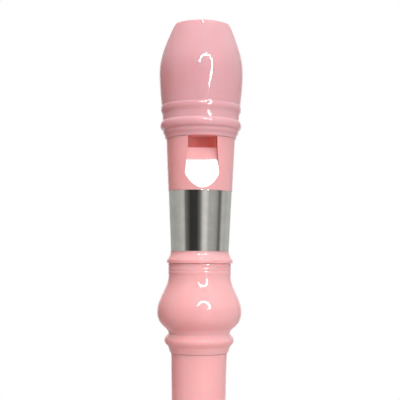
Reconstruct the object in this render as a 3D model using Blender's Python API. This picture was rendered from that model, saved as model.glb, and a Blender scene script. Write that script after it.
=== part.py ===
"""A soprano recorder in three joints, as its separate mouldings.

The instrument stands on the flat end of its foot. Its bore lies on the Z axis and its window faces -Y.
Each joint is modelled from its own lower end upwards and hangs under an empty on the bore's axis.
"""
import math

import bmesh
import bpy

MM = 0.001

# Lengths of the three joints, as they show when the instrument is put together
HEAD_LENGTH = 121.5 * MM
MIDDLE_LENGTH = 138.5 * MM
FOOT_LENGTH = 66.0 * MM

# Clearances
SEAM = 0.2 * MM                     # two mouldings that butt together
GLUE_GAP = 0.25 * MM                # a piece bonded inside another
TENON_PLAY = 0.3 * MM               # a tenon in its socket
SEAL_PLAY = 0.15 * MM               # a seal ring in its groove and against its socket

# Bores, as radii
HEAD_BORE = 6.75 * MM
MIDDLE_BORE_TOP = 6.6 * MM
MIDDLE_BORE_END = 5.1 * MM
FOOT_CHOKE = 4.5 * MM
FOOT_CHOKE_HEIGHT = 14.0 * MM       # above the foot's end
FOOT_BORE_EXIT = 5.25 * MM

# Mouthpiece cap, measured down from the tip of the beak
CAP_LENGTH = 42.8 * MM
TIP_RADIUS = 11.4 * MM
TIP_THICKNESS = 6.0 * MM
LIP_ROUND = 0.7 * MM
BEAK_SHOULDER_RADIUS = 14.4 * MM
BEAK_SHOULDER = 9.5 * MM
BEAK_RADIUS = 15.7 * MM
BEAK_WIDEST = 17.3 * MM
BEAK_FOOT_RADIUS = 14.75 * MM
BEAK_CUT_LENGTH = 28.0 * MM
BEAK_CUT_RADIUS = 41.0 * MM
CAP_SKIRT_DEPTH = 12.3 * MM         # how far the cap goes down over the head tube

# Rings of the cap, with heights above its rim
RIB_RADIUS = 15.0 * MM
RIB_HEIGHT = 11.3 * MM
RIB_WIDTH = 2.2 * MM
COVE_RADIUS = 14.35 * MM
CAP_BEAD_RADIUS = 15.15 * MM
CAP_BEAD_HEIGHT = 5.05 * MM
CAP_BEAD_WIDTH = 3.2 * MM
CAP_STEP_RADIUS = 14.1 * MM
CAP_STEP_HEIGHT = 2.5 * MM
CAP_RIM_RADIUS = 13.35 * MM
CAP_RIM_HEIGHT = 0.9 * MM
CAP_RIM_ROUND = 0.4 * MM

# Windway, window and labium, with distances from the bore's axis
WINDWAY_WIDTH = 10.7 * MM
WINDWAY_FLOOR_ENTRY = 7.3 * MM
WINDWAY_ROOF_ENTRY = 8.7 * MM
WINDWAY_FLOOR_EXIT = 7.35 * MM
WINDWAY_ROOF_EXIT = 8.4 * MM
CUT_UP = 3.9 * MM                   # from the windway's exit to the labium's edge
LABIUM_DISTANCE = 8.0 * MM
LABIUM_THICKNESS = 0.45 * MM
RAMP_LENGTH = 14.9 * MM
RAMP_FLARE = 0.078                  # widening of each side per unit of length
UNDERCUT_LENGTH = 17.0 * MM

# Head tube
TUBE_TOP_RADIUS = 12.85 * MM
TUBE_THROAT_RADIUS = 10.85 * MM
CAP_SPIGOT_RADIUS = 11.6 * MM
FLARE_LENGTH = 2.7 * MM
FLANGE_RADIUS = 12.2 * MM
FLANGE_THICKNESS = 1.2 * MM
SOCKET_SPIGOT_RADIUS = 9.5 * MM

# Band round the head tube
BAND_WIDTH = 22.0 * MM
BAND_THICKNESS = 0.3 * MM
BAND_PROUD = 0.05 * MM
BAND_MARGIN = 0.3 * MM              # bare tube between the band and the flare

# Socket moulding of the head, with heights above its mouth
SOCKET_LENGTH = 32.7 * MM
SOCKET_COLLAR_RADIUS = 11.5 * MM
SOCKET_COLLAR_LENGTH = 4.4 * MM
SOCKET_EDGE = 0.25 * MM
BULGE_RADIUS = 15.57 * MM
BULGE_HEIGHT = 15.2 * MM
BULGE_POWER = 2.6                   # how late the bulge turns in below
SHOULDER_RADIUS = 12.42 * MM
SHOULDER_HEIGHT = 9.0 * MM
NECK_RADIUS = 11.3 * MM
NECK_HEIGHT = 7.0 * MM
SOCKET_BEAD_RADIUS = 12.85 * MM
SOCKET_BEAD_HEIGHT = 4.6 * MM
SOCKET_BEAD_WIDTH = 4.7 * MM
SOCKET_LIP_RADIUS = 11.4 * MM
SOCKET_MOUTH_RADIUS = 10.8 * MM
SOCKET_LIP_ROUND = 0.5 * MM

# Tenons of the middle joint and the grooves of their seal rings
UPPER_TENON_LENGTH = 19.8 * MM
UPPER_SOCKET_BORE = 8.9 * MM
LOWER_TENON_LENGTH = 15.5 * MM
LOWER_SOCKET_BORE = 7.9 * MM
TENON_CHAMFER = 0.6 * MM
GROOVE_WIDTH = 2.0 * MM
GROOVE_DEPTH = 1.0 * MM
UPPER_SEAL_OFFSET = 11.0 * MM       # from the shoulder to the middle of the groove
LOWER_SEAL_OFFSET = 8.5 * MM

# Middle joint
MIDDLE_TOP_RADIUS = 10.3 * MM
MIDDLE_END_RADIUS = 8.95 * MM
MIDDLE_TAPER_POWER = 2.7

# Foot joint, with heights above its end
FOOT_LIP_RADIUS = 10.6 * MM
FOOT_LIP_LENGTH = 1.6 * MM
FOOT_LIP_ROUND = 0.5 * MM
FOOT_BEAD_RADIUS = 11.8 * MM
FOOT_BEAD_WIDTH = 4.0 * MM
FOOT_NECK_RADIUS = 10.3 * MM
FOOT_BULGE_RADIUS = 12.7 * MM
FOOT_BULGE_HEIGHT = 53.0 * MM
WAIST_RADIUS = 8.6 * MM
WAIST_HEIGHT = 26.0 * MM
BELL_RADIUS = 11.6 * MM
BELL_HEIGHT = 7.0 * MM
BELL_BEAD_RADIUS = 12.5 * MM
BELL_BEAD_WIDTH = 4.2 * MM
END_RADIUS = 10.9 * MM
END_ROUND = 0.6 * MM

# Finger holes of the middle joint: height above the foot's upper end, and diameter
HOLE_1 = (115.0 * MM, 5.4 * MM)
HOLE_2 = (94.0 * MM, 6.0 * MM)
HOLE_3 = (75.0 * MM, 5.2 * MM)
HOLE_4 = (49.0 * MM, 5.6 * MM)
HOLE_5 = (31.0 * MM, 5.2 * MM)
THUMB_HOLE = (120.0 * MM, 5.4 * MM)

# Double holes: height above the lower end of their own joint, and the sizes of each pair
HOLE_6_HEIGHT = 11.0 * MM
HOLE_7_HEIGHT = 44.5 * MM
LARGE_HOLE = 3.8 * MM
SMALL_HOLE = 2.8 * MM
LARGE_HOLE_OFFSET = 2.9 * MM
SMALL_HOLE_OFFSET = 2.8 * MM
HOLE_7_TURN = math.radians(-9)      # towards the little finger

# Facets
ROUND_FACETS = 40
HOLE_FACETS = 20
CUT_FACETS = 144
BLOCK_FACETS = 20
REACH = 30.0 * MM                   # how far a cutter runs past the wall that it cuts
SHARP_ANGLE = math.radians(32)

# Finishes: colour, roughness, metallic
PINK = ((0.89, 0.50, 0.55), 0.22, 0.0)
BLOCK_PINK = ((0.87, 0.46, 0.50), 0.3, 0.0)
SILVER = ((0.80, 0.81, 0.78), 0.08, 1.0)
RUBBER = ((0.10, 0.10, 0.10), 0.6, 0.0)


def ogee(start, end, steps):
    """Points after start up to end, along the axis at both, as an S-shaped curve."""
    shares = [step / steps for step in range(1, steps + 1)]
    return [mix(start, end, (1 - math.cos(math.pi * share)) / 2, share) for share in shares]


def depart(start, end, steps):
    """Points after start up to end, along the axis at start."""
    shares = [step / steps for step in range(1, steps + 1)]
    return [mix(start, end, 1 - math.cos(math.pi * share / 2), share) for share in shares]


def arrive(start, end, steps):
    """Points after start up to end, along the axis at end."""
    shares = [step / steps for step in range(1, steps + 1)]
    return [mix(start, end, math.sin(math.pi * share / 2), share) for share in shares]


def turn_in(start, end, power, steps):
    """Points after start up to end, along the axis at start and steeper the nearer to end."""
    shares = [step / steps for step in range(1, steps + 1)]
    return [mix(start, end, share ** power, share) for share in shares]


def mix(start, end, radius_share, height_share):
    """The (radius, height) point at the given shares of the way from start to end."""
    radius = start[0] + (end[0] - start[0]) * radius_share
    height = start[1] + (end[1] - start[1]) * height_share
    return radius, height


def bead(base_radius, peak_radius, centre, width, steps):
    """A half-round bead on a straight wall, from its upper edge to its lower edge."""
    angles = [math.pi * step / steps for step in range(steps + 1)]
    rise = peak_radius - base_radius
    return [(base_radius + rise * math.sin(a), centre + width / 2 * math.cos(a)) for a in angles]


def swell(base_radius, peak_radius, centre, width, steps):
    """A swelling of a straight wall that rises and falls as half a wave, from its upper edge down."""
    shares = [step / steps for step in range(steps + 1)]
    rise = peak_radius - base_radius
    return [(base_radius + rise * math.sin(math.pi * s), centre + width * (0.5 - s)) for s in shares]


def rounded_corner(radius, height, size, up):
    """Three points of a rounded outer corner, in order down the outline."""
    turn = 1 if up else -1
    diagonal = size * (1 - math.sqrt(0.5))
    points = [(radius - size, height), (radius - diagonal, height - turn * diagonal),
              (radius, height - turn * size)]
    return points if up else points[::-1]


def finish(piece, look):
    """Give a piece its own material."""
    colour, roughness, metallic = look
    material = bpy.data.materials.new(piece.name)
    material.use_nodes = True
    shader = material.node_tree.nodes["Principled BSDF"]
    shader.inputs["Base Color"].default_value = (*colour, 1)
    shader.inputs["Roughness"].default_value = roughness
    shader.inputs["Metallic"].default_value = metallic
    material.diffuse_color = (*colour, 1)
    piece.data.materials.append(material)


def place(name, mesh, parent):
    """Put a mesh into the scene under its joint's empty."""
    piece = bpy.data.objects.new(name, mesh)
    piece.parent = parent
    bpy.context.scene.collection.objects.link(piece)
    return piece


def joint_axis(name, height, parent=None):
    """An empty on the bore's axis that carries the pieces of one joint."""
    axis = bpy.data.objects.new(name, None)
    axis.location = (0, 0, height)
    axis.parent = parent
    axis.empty_display_size = HEAD_BORE
    bpy.context.scene.collection.objects.link(axis)
    return axis


def to_mesh(name, shape):
    """Turn a finished bmesh into a mesh, smooth but for its hard edges."""
    bmesh.ops.recalc_face_normals(shape, faces=shape.faces)
    mesh = bpy.data.meshes.new(name)
    shape.to_mesh(mesh)
    shape.free()
    mesh.shade_smooth()
    mesh.set_sharp_from_angle(angle=SHARP_ANGLE)
    return mesh


def turned(name, outline, parent, look):
    """A piece turned on a lathe: its closed outline of (radius, height) points spun round the axis."""
    shape = bmesh.new()
    points = [shape.verts.new((radius, 0, height)) for radius, height in outline]
    edges = [shape.edges.new(pair) for pair in zip(points, points[1:] + points[:1])]
    bmesh.ops.spin(shape, geom=points + edges, cent=(0, 0, 0), axis=(0, 0, 1),
                   angle=math.tau, steps=ROUND_FACETS, use_merge=True)
    piece = place(name, to_mesh(name, shape), parent)
    finish(piece, look)
    return piece


def loft(name, lower, upper, parent):
    """A body between two outlines of matching (x, y, z) points, closed by flat ends."""
    shape = bmesh.new()
    lower_ring = [shape.verts.new(point) for point in lower]
    upper_ring = [shape.verts.new(point) for point in upper]
    shape.faces.new(lower_ring)
    shape.faces.new(upper_ring)
    count = len(lower)
    for index in range(count):
        after = (index + 1) % count
        shape.faces.new((lower_ring[index], lower_ring[after], upper_ring[after], upper_ring[index]))
    return place(name, to_mesh(name, shape), parent)


def side_cutter(name, outline, width, parent):
    """A cutter with a side outline of (distance in front of the axis, height) points."""
    left = [(-width / 2, -distance, height) for distance, height in outline]
    right = [(width / 2, -distance, height) for distance, height in outline]
    return as_cutter(loft(name, left, right, parent))


def rod_cutter(name, radius, length, facets, centre, turn, parent):
    """A round cutter of the given length, turned from the Z axis by turn."""
    shape = bmesh.new()
    bmesh.ops.create_cone(shape, cap_ends=True, segments=facets, radius1=radius, radius2=radius,
                          depth=length)
    cutter = place(name, to_mesh(name, shape), parent)
    cutter.location = centre
    cutter.rotation_euler = turn
    return as_cutter(cutter)


def as_cutter(cutter):
    """Keep a cutter as a wire guide that isn't part of the instrument."""
    cutter.hide_render = True
    cutter.display_type = "WIRE"
    return cutter


def cut(piece, *cutters):
    """Take the cutters away from a piece."""
    for cutter in cutters:
        boolean = piece.modifiers.new(cutter.name, "BOOLEAN")
        boolean.operation = "DIFFERENCE"
        boolean.solver = "EXACT"
        boolean.object = cutter


def beak_cutter(head):
    """The large round cutter that hollows the back of the beak, from the tip to its back wall."""
    tip = (TIP_RADIUS - TIP_THICKNESS, HEAD_LENGTH)
    back = (-BEAK_RADIUS, HEAD_LENGTH - BEAK_CUT_LENGTH)
    half_chord = math.dist(tip, back) / 2
    along = ((back[0] - tip[0]) / (2 * half_chord), (back[1] - tip[1]) / (2 * half_chord))
    offset = math.sqrt(BEAK_CUT_RADIUS ** 2 - half_chord ** 2)
    centre_distance = (tip[0] + back[0]) / 2 + along[1] * offset
    centre_height = (tip[1] + back[1]) / 2 - along[0] * offset
    return rod_cutter("beak_cutter", BEAK_CUT_RADIUS, 2 * REACH, CUT_FACETS,
                      (0, -centre_distance, centre_height), (0, math.pi / 2, 0), head)


def along_windway(entry, exit_value, height):
    """A windway distance that runs straight from its entry at the tip to its exit at the rim."""
    share = (HEAD_LENGTH - height) / CAP_LENGTH
    return entry + (exit_value - entry) * share


def rim_height():
    """Height of the cap's rim, which is also the windway's exit and the window's upper edge."""
    return HEAD_LENGTH - CAP_LENGTH


def spigot_top():
    """Height of the head tube's upper end, inside the cap."""
    return rim_height() + CAP_SKIRT_DEPTH - GLUE_GAP


def flange_base():
    """Height of the underside of the head tube's flange."""
    return SOCKET_LENGTH + SEAM


def throat_height():
    """Height at which the head tube is narrowest, just above the flare of its flange."""
    return flange_base() + FLANGE_THICKNESS + FLARE_LENGTH


def tube_radius(height):
    """Outer radius of the head tube between its throat and the cap's rim."""
    share = (height - throat_height()) / (rim_height() - throat_height())
    return TUBE_THROAT_RADIUS + (TUBE_TOP_RADIUS - TUBE_THROAT_RADIUS) * share


def make_mouthpiece_cap(head, beak_cut):
    """The beak and its rings, with the roof of the windway, sleeved over the head tube."""
    rim = rim_height()
    skirt_top = rim + CAP_SKIRT_DEPTH
    shoulder = (BEAK_SHOULDER_RADIUS, HEAD_LENGTH - BEAK_SHOULDER)
    widest = (BEAK_RADIUS, HEAD_LENGTH - BEAK_WIDEST)
    rib_top = (BEAK_FOOT_RADIUS, rim + RIB_HEIGHT + RIB_WIDTH / 2)
    cove_top = (COVE_RADIUS, rim + RIB_HEIGHT - RIB_WIDTH)
    bead_base = rim + CAP_BEAD_HEIGHT - CAP_BEAD_WIDTH / 2
    step_edge = (CAP_STEP_RADIUS, rim + CAP_STEP_HEIGHT)
    rim_edge = (CAP_RIM_RADIUS, rim + CAP_RIM_HEIGHT)
    outline = rounded_corner(TIP_RADIUS, HEAD_LENGTH, LIP_ROUND, up=True)
    outline += [shoulder]
    outline += arrive(shoulder, widest, 5)
    outline += depart(widest, rib_top, 3)
    outline += bead(BEAK_FOOT_RADIUS, RIB_RADIUS, rim + RIB_HEIGHT, RIB_WIDTH, 4)[1:]
    outline += [cove_top]
    outline += bead(COVE_RADIUS, CAP_BEAD_RADIUS, rim + CAP_BEAD_HEIGHT, CAP_BEAD_WIDTH, 6)
    outline += [(CAP_STEP_RADIUS, bead_base - CAP_RIM_ROUND)]
    outline += [step_edge]
    outline += ogee(step_edge, rim_edge, 3)
    outline += rounded_corner(CAP_RIM_RADIUS, rim, CAP_RIM_ROUND, up=False)
    skirt = CAP_SPIGOT_RADIUS + GLUE_GAP
    outline += [(skirt, rim), (skirt, skirt_top), (HEAD_BORE, skirt_top), (HEAD_BORE, HEAD_LENGTH)]
    cap = turned("mouthpiece_cap", outline, head, PINK)
    above = HEAD_LENGTH + LIP_ROUND
    below = rim + SEAM
    slot = side_cutter("windway_slot_cutter", [
        (0, above),
        (along_windway(WINDWAY_ROOF_ENTRY, WINDWAY_ROOF_EXIT, above), above),
        (along_windway(WINDWAY_ROOF_ENTRY, WINDWAY_ROOF_EXIT, below), below),
        (0, below),
    ], WINDWAY_WIDTH, head)
    cut(cap, slot, beak_cut)


def block_section(floor, height):
    """Outline of the block at one height: round behind, with the flat floor of the windway in front."""
    radius = HEAD_BORE - GLUE_GAP
    half_width = WINDWAY_WIDTH / 2 - GLUE_GAP
    edge = math.asin(half_width / radius)
    points = [(-half_width, -floor, height), (half_width, -floor, height)]
    for step in range(BLOCK_FACETS + 1):
        angle = edge + (math.tau - 2 * edge) * step / BLOCK_FACETS
        points.append((radius * math.sin(angle), -radius * math.cos(angle), height))
    return points


def make_windway_block(head, beak_cut):
    """The plug in the head's bore, whose front is the floor of the windway."""
    exit_end = block_section(WINDWAY_FLOOR_EXIT, rim_height())
    tip_end = block_section(WINDWAY_FLOOR_ENTRY, HEAD_LENGTH)
    block = loft("windway_block", exit_end, tip_end, head)
    finish(block, BLOCK_PINK)
    cut(block, beak_cut)


def band_edges():
    """Heights of the band's lower and upper edges."""
    lower = throat_height() + BAND_MARGIN
    return lower, lower + BAND_WIDTH


def make_head_tube(head):
    """The tube with the window, the labium and the flange, and a spigot at each end."""
    rim = rim_height()
    flange = flange_base()
    throat = (TUBE_THROAT_RADIUS, throat_height())
    band_lower, band_upper = band_edges()
    seat_lower = band_lower - SEAM
    seat_upper = band_upper + SEAM
    seat_depth = BAND_THICKNESS + GLUE_GAP - BAND_PROUD
    socket_end = UPPER_TENON_LENGTH + TENON_PLAY + 2 * GLUE_GAP
    outline = [
        (CAP_SPIGOT_RADIUS, spigot_top()),
        (CAP_SPIGOT_RADIUS, rim - SEAM),
        (tube_radius(rim - SEAM), rim - SEAM),
        (tube_radius(seat_upper), seat_upper),
        (tube_radius(seat_upper) - seat_depth, seat_upper),
        (tube_radius(seat_lower) - seat_depth, seat_lower),
        (tube_radius(seat_lower), seat_lower),
        throat,
    ]
    outline += depart(throat, (FLANGE_RADIUS, flange + FLANGE_THICKNESS), 4)
    outline += [
        (FLANGE_RADIUS, flange),
        (SOCKET_SPIGOT_RADIUS, flange),
        (SOCKET_SPIGOT_RADIUS, socket_end),
        (HEAD_BORE, socket_end),
        (HEAD_BORE, spigot_top()),
    ]
    tube = turned("head_tube", outline, head, PINK)
    cut(tube, window_cutter(head), ramp_cutter(head))


def window_cutter(head):
    """The windway's channel, the window and the undercut behind the labium, in one cutter."""
    rim = rim_height()
    edge = rim - CUT_UP
    above = spigot_top() + REACH
    half_width = WINDWAY_WIDTH / 2
    faded = math.sqrt(HEAD_BORE ** 2 - half_width ** 2) - GLUE_GAP
    return side_cutter("window_cutter", [
        (0, above),
        (along_windway(WINDWAY_ROOF_ENTRY, WINDWAY_ROOF_EXIT, above), above),
        (WINDWAY_ROOF_EXIT, rim),
        (REACH, rim),
        (REACH, edge),
        (LABIUM_DISTANCE - LABIUM_THICKNESS, edge),
        (faded, edge - UNDERCUT_LENGTH),
        (0, edge - UNDERCUT_LENGTH),
    ], WINDWAY_WIDTH, head)


def ramp_cutter(head):
    """The wedge that slopes from the labium's edge out to the tube's wall, widening as it goes."""
    edge = rim_height() - CUT_UP
    end = edge - RAMP_LENGTH
    slope = (tube_radius(end) - LABIUM_DISTANCE) / RAMP_LENGTH
    margin = CUT_UP / 3
    upper = wedge_section(edge + margin, LABIUM_DISTANCE - slope * margin, -margin)
    lower = wedge_section(end - margin, LABIUM_DISTANCE + slope * (RAMP_LENGTH + margin),
                          RAMP_LENGTH + margin)
    return as_cutter(loft("ramp_cutter", lower, upper, head))


def wedge_section(height, distance, run):
    """The ramp cutter's outline at one height, run past the labium's edge."""
    half_width = WINDWAY_WIDTH / 2 + RAMP_FLARE * run
    corners = [(-half_width, distance), (half_width, distance), (half_width, REACH), (-half_width, REACH)]
    return [(x, -y, height) for x, y in corners]


def make_band_sleeve(head):
    """The thin metallised sleeve in its seat round the head tube."""
    lower, upper = band_edges()
    outer = [(tube_radius(height) + BAND_PROUD, height) for height in (upper, lower)]
    inner = [(radius - BAND_THICKNESS, height) for radius, height in reversed(outer)]
    turned("band_sleeve", outer + inner, head, SILVER)


def make_head_socket(head):
    """The onion-shaped moulding that takes the middle joint's upper tenon."""
    bulge = (BULGE_RADIUS, BULGE_HEIGHT)
    shoulder = (SHOULDER_RADIUS, SHOULDER_HEIGHT)
    neck = (NECK_RADIUS, NECK_HEIGHT)
    collar = (SOCKET_COLLAR_RADIUS, SOCKET_LENGTH - SOCKET_COLLAR_LENGTH)
    spigot_bore = SOCKET_SPIGOT_RADIUS + GLUE_GAP
    step = UPPER_TENON_LENGTH + TENON_PLAY + GLUE_GAP
    outline = [
        (SOCKET_COLLAR_RADIUS - SOCKET_EDGE, SOCKET_LENGTH),
        (SOCKET_COLLAR_RADIUS, SOCKET_LENGTH - SOCKET_EDGE),
        collar,
    ]
    outline += ogee(collar, bulge, 9)
    outline += turn_in(bulge, shoulder, BULGE_POWER, 5)
    outline += arrive(shoulder, neck, 2)
    outline += swell(NECK_RADIUS, SOCKET_BEAD_RADIUS, SOCKET_BEAD_HEIGHT, SOCKET_BEAD_WIDTH, 6)[1:-1]
    outline += [(SOCKET_LIP_RADIUS, SOCKET_BEAD_HEIGHT - SOCKET_BEAD_WIDTH / 2)]
    outline += rounded_corner(SOCKET_MOUTH_RADIUS, 0, SOCKET_LIP_ROUND, up=False)
    outline += [
        (UPPER_SOCKET_BORE, 0),
        (UPPER_SOCKET_BORE, step),
        (spigot_bore, step),
        (spigot_bore, SOCKET_LENGTH),
    ]
    turned("head_socket", outline, head, PINK)


def tenon_radius(socket_bore):
    """Outer radius of the tenon that fits a socket."""
    return socket_bore - TENON_PLAY


def tenon_outline(socket_bore, bore, shoulder, length, seal_offset, way):
    """A tenon from its shoulder to the bore at its end, with the groove of its seal ring.

    way is 1 for a tenon that points up and -1 for one that points down.
    """
    radius = tenon_radius(socket_bore)
    near = shoulder + way * (seal_offset - GROOVE_WIDTH / 2)
    far = shoulder + way * (seal_offset + GROOVE_WIDTH / 2)
    end = shoulder + way * length
    return [
        (radius, shoulder),
        (radius, near),
        (radius - GROOVE_DEPTH, near),
        (radius - GROOVE_DEPTH, far),
        (radius, far),
        (radius, end - way * TENON_CHAMFER),
        (radius - TENON_CHAMFER, end),
        (bore, end),
    ]


def middle_radius(height):
    """Outer radius of the middle joint, which narrows fast below the head and slowly further down."""
    share = (height / MIDDLE_LENGTH) ** MIDDLE_TAPER_POWER
    return MIDDLE_END_RADIUS + (MIDDLE_TOP_RADIUS - MIDDLE_END_RADIUS) * share


def make_middle_joint(middle):
    """The tube with most of the finger holes, and a tenon at each end."""
    upper = MIDDLE_LENGTH - SEAM
    lower = SEAM
    top = tenon_outline(UPPER_SOCKET_BORE, MIDDLE_BORE_TOP, upper, UPPER_TENON_LENGTH,
                        UPPER_SEAL_OFFSET, 1)
    end = tenon_outline(LOWER_SOCKET_BORE, MIDDLE_BORE_END, lower, LOWER_TENON_LENGTH,
                        LOWER_SEAL_OFFSET, -1)
    steps = 6
    heights = [upper + (lower - upper) * step / steps for step in range(steps + 1)]
    body = [(middle_radius(height), height) for height in heights]
    joint = turned("middle_joint", top[::-1] + body + end, middle, PINK)
    for number, (height, diameter) in enumerate((HOLE_1, HOLE_2, HOLE_3, HOLE_4, HOLE_5), start=1):
        cut(joint, finger_hole(f"hole_{number}_cutter", height, diameter, 0, 0, middle))
    cut(joint, finger_hole("thumb_hole_cutter", *THUMB_HOLE, 0, math.pi, middle))
    for cutter in double_hole("hole_6", HOLE_6_HEIGHT, 0, middle):
        cut(joint, cutter)


def finger_hole(name, height, diameter, offset, turn, parent):
    """A drill from the bore outwards: to the front, or turned about the axis by turn."""
    reach = REACH / 2
    centre = (offset * math.cos(turn) + reach * math.sin(turn),
              offset * math.sin(turn) - reach * math.cos(turn), height)
    return rod_cutter(name, diameter / 2, REACH, HOLE_FACETS, centre, (math.pi / 2, 0, turn), parent)


def double_hole(name, height, turn, parent):
    """The large and the small drill of a double hole."""
    return (finger_hole(f"{name}_large_cutter", height, LARGE_HOLE, -LARGE_HOLE_OFFSET, turn, parent),
            finger_hole(f"{name}_small_cutter", height, SMALL_HOLE, SMALL_HOLE_OFFSET, turn, parent))


def make_seal(name, socket_bore, parent):
    """A seal ring round the origin, which fills its groove and bears on its socket."""
    inner = tenon_radius(socket_bore) - GROOVE_DEPTH + SEAL_PLAY
    outer = socket_bore - SEAL_PLAY
    half_height = GROOVE_WIDTH / 2 - SEAL_PLAY
    middle = (inner + outer) / 2
    round_edge = (outer - inner) / 4
    outline = [
        (middle, half_height),
        (outer - round_edge, half_height - round_edge),
        (outer, 0),
        (outer - round_edge, round_edge - half_height),
        (middle, -half_height),
        (inner, round_edge - half_height),
        (inner, half_height - round_edge),
    ]
    turned(name, outline, parent, RUBBER)


def make_foot_joint(foot):
    """The foot with its socket, its bell-shaped end and the last double hole."""
    lip_base = FOOT_LENGTH - FOOT_LIP_LENGTH
    bead_centre = lip_base - FOOT_BEAD_WIDTH / 2
    neck = (FOOT_NECK_RADIUS, lip_base - FOOT_BEAD_WIDTH)
    bulge = (FOOT_BULGE_RADIUS, FOOT_BULGE_HEIGHT)
    waist = (WAIST_RADIUS, WAIST_HEIGHT)
    bell = (BELL_RADIUS, BELL_HEIGHT)
    bell_bead_centre = BELL_HEIGHT - BELL_BEAD_WIDTH / 2
    socket_end = FOOT_LENGTH - LOWER_TENON_LENGTH - TENON_PLAY
    outline = rounded_corner(FOOT_LIP_RADIUS, FOOT_LENGTH, FOOT_LIP_ROUND, up=True)
    outline += bead(FOOT_NECK_RADIUS, FOOT_BEAD_RADIUS, bead_centre, FOOT_BEAD_WIDTH, 5)
    outline += arrive(neck, bulge, 5)
    outline += ogee(bulge, waist, 7)
    outline += depart(waist, bell, 5)
    outline += bead(BELL_RADIUS, BELL_BEAD_RADIUS, bell_bead_centre, BELL_BEAD_WIDTH, 5)[1:]
    outline += rounded_corner(END_RADIUS, 0, END_ROUND, up=False)
    outline += [
        (FOOT_BORE_EXIT, 0),
        (FOOT_CHOKE, FOOT_CHOKE_HEIGHT),
        (MIDDLE_BORE_END, socket_end),
        (LOWER_SOCKET_BORE, socket_end),
        (LOWER_SOCKET_BORE, FOOT_LENGTH),
    ]
    joint = turned("foot_joint", outline, foot, PINK)
    cut(joint, *double_hole("hole_7", HOLE_7_HEIGHT, HOLE_7_TURN, foot))


def build():
    """Clear the scene and model the instrument."""
    for thing in list(bpy.data.objects):
        bpy.data.objects.remove(thing, do_unlink=True)
    foot = joint_axis("foot_axis", 0)
    middle = joint_axis("middle_axis", FOOT_LENGTH)
    head = joint_axis("head_axis", FOOT_LENGTH + MIDDLE_LENGTH)
    upper_seal = joint_axis("upper_seal_axis", MIDDLE_LENGTH - SEAM + UPPER_SEAL_OFFSET, middle)
    lower_seal = joint_axis("lower_seal_axis", SEAM - LOWER_SEAL_OFFSET, middle)
    beak_cut = beak_cutter(head)
    make_mouthpiece_cap(head, beak_cut)
    make_windway_block(head, beak_cut)
    make_head_tube(head)
    make_band_sleeve(head)
    make_head_socket(head)
    make_middle_joint(middle)
    make_seal("upper_seal", UPPER_SOCKET_BORE, upper_seal)
    make_seal("lower_seal", LOWER_SOCKET_BORE, lower_seal)
    make_foot_joint(foot)


build()
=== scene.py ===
"""The finished look of a soprano recorder in glossy, slightly translucent plastic with a bare foil band.

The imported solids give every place: each class reads the boxes of its nodes, rebuilds the pieces more
finely with closed seams and rounded edges, and dresses them in moulded finishes.
"""

import logging
import math
from collections.abc import Callable
from dataclasses import dataclass, field
from enum import Enum

import bmesh
import bpy
from mathutils import Euler, Matrix, Vector


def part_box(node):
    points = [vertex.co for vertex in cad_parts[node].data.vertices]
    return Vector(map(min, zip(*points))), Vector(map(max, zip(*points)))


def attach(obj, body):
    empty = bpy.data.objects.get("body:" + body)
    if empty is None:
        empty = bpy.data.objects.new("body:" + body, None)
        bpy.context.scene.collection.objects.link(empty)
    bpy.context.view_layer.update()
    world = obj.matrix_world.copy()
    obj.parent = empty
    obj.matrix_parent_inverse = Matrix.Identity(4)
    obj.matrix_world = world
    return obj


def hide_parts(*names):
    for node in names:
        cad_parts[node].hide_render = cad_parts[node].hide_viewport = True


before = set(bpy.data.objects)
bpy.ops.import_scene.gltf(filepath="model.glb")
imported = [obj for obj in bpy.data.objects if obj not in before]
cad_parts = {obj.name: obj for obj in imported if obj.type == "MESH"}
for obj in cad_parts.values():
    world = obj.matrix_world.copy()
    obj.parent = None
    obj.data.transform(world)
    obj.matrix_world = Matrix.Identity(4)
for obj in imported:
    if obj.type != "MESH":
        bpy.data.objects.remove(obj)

MM = 0.001
FACETS = 224                    # round every turned piece
HAIRLINE = 0.02 * MM            # what is left of a seam between two pieces
FLAT_AREA = 8.0 * MM * MM       # a face this large is a flat cut, on most pieces
CREASE = math.radians(10)       # faces that meet more sharply don't shade as one
HARD_EDGE = math.radians(32)    # cut edges sharper than this are eased
CURVE_STEPS = 40                # short lines in a plain curve
OGEE_STEPS = 48
BEAD_STEPS = 28
SMOOTHINGS = 5                  # how often an outline is averaged along itself
THIN_TURN = math.radians(5)     # the most that an outline turns between two of its points
THIN_REACH = 2.0 * MM           # the furthest that two of its points are apart
LARGE_OF_PAIR = (3.8 * MM, -2.9 * MM)   # a double hole's diameter and offset sideways
SMALL_OF_PAIR = (2.8 * MM, 2.8 * MM)
CLOUD_ENDS = (0.35, 0.65)       # shares between which a mottled finish goes from one end to the other
WAVE_FACTOR = 20                # a wave texture's bands at scale 1, in radians to the metre
WHITE = (1.0, 1.0, 1.0, 1.0)
VIEW_BEARING = -3.5             # degrees; the side of the instrument that the camera faces

Colour = tuple[float, float, float]
Point = tuple[float, float]
Ring = list[tuple[float, float, float]]
Socket = bpy.types.NodeSocket

log = logging.getLogger("recorder")


class Body(Enum):
    """The bodies that the pieces ride on."""

    MIDDLE = "middle"
    HEAD = "head"
    FOOT = "foot"
    UPPER_SEAL = "upper_seal_ring"
    LOWER_SEAL = "lower_seal_ring"


class Slot(Enum):
    """The record's material slots."""

    SHELL = "shell_plastic"
    BLOCK = "block_plastic"
    FOIL = "band_foil"
    RUBBER = "seal_rubber"


class Cut(Enum):
    """What a solid tool does to a mesh."""

    AWAY = "DIFFERENCE"
    DOWN_TO = "INTERSECT"


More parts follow.
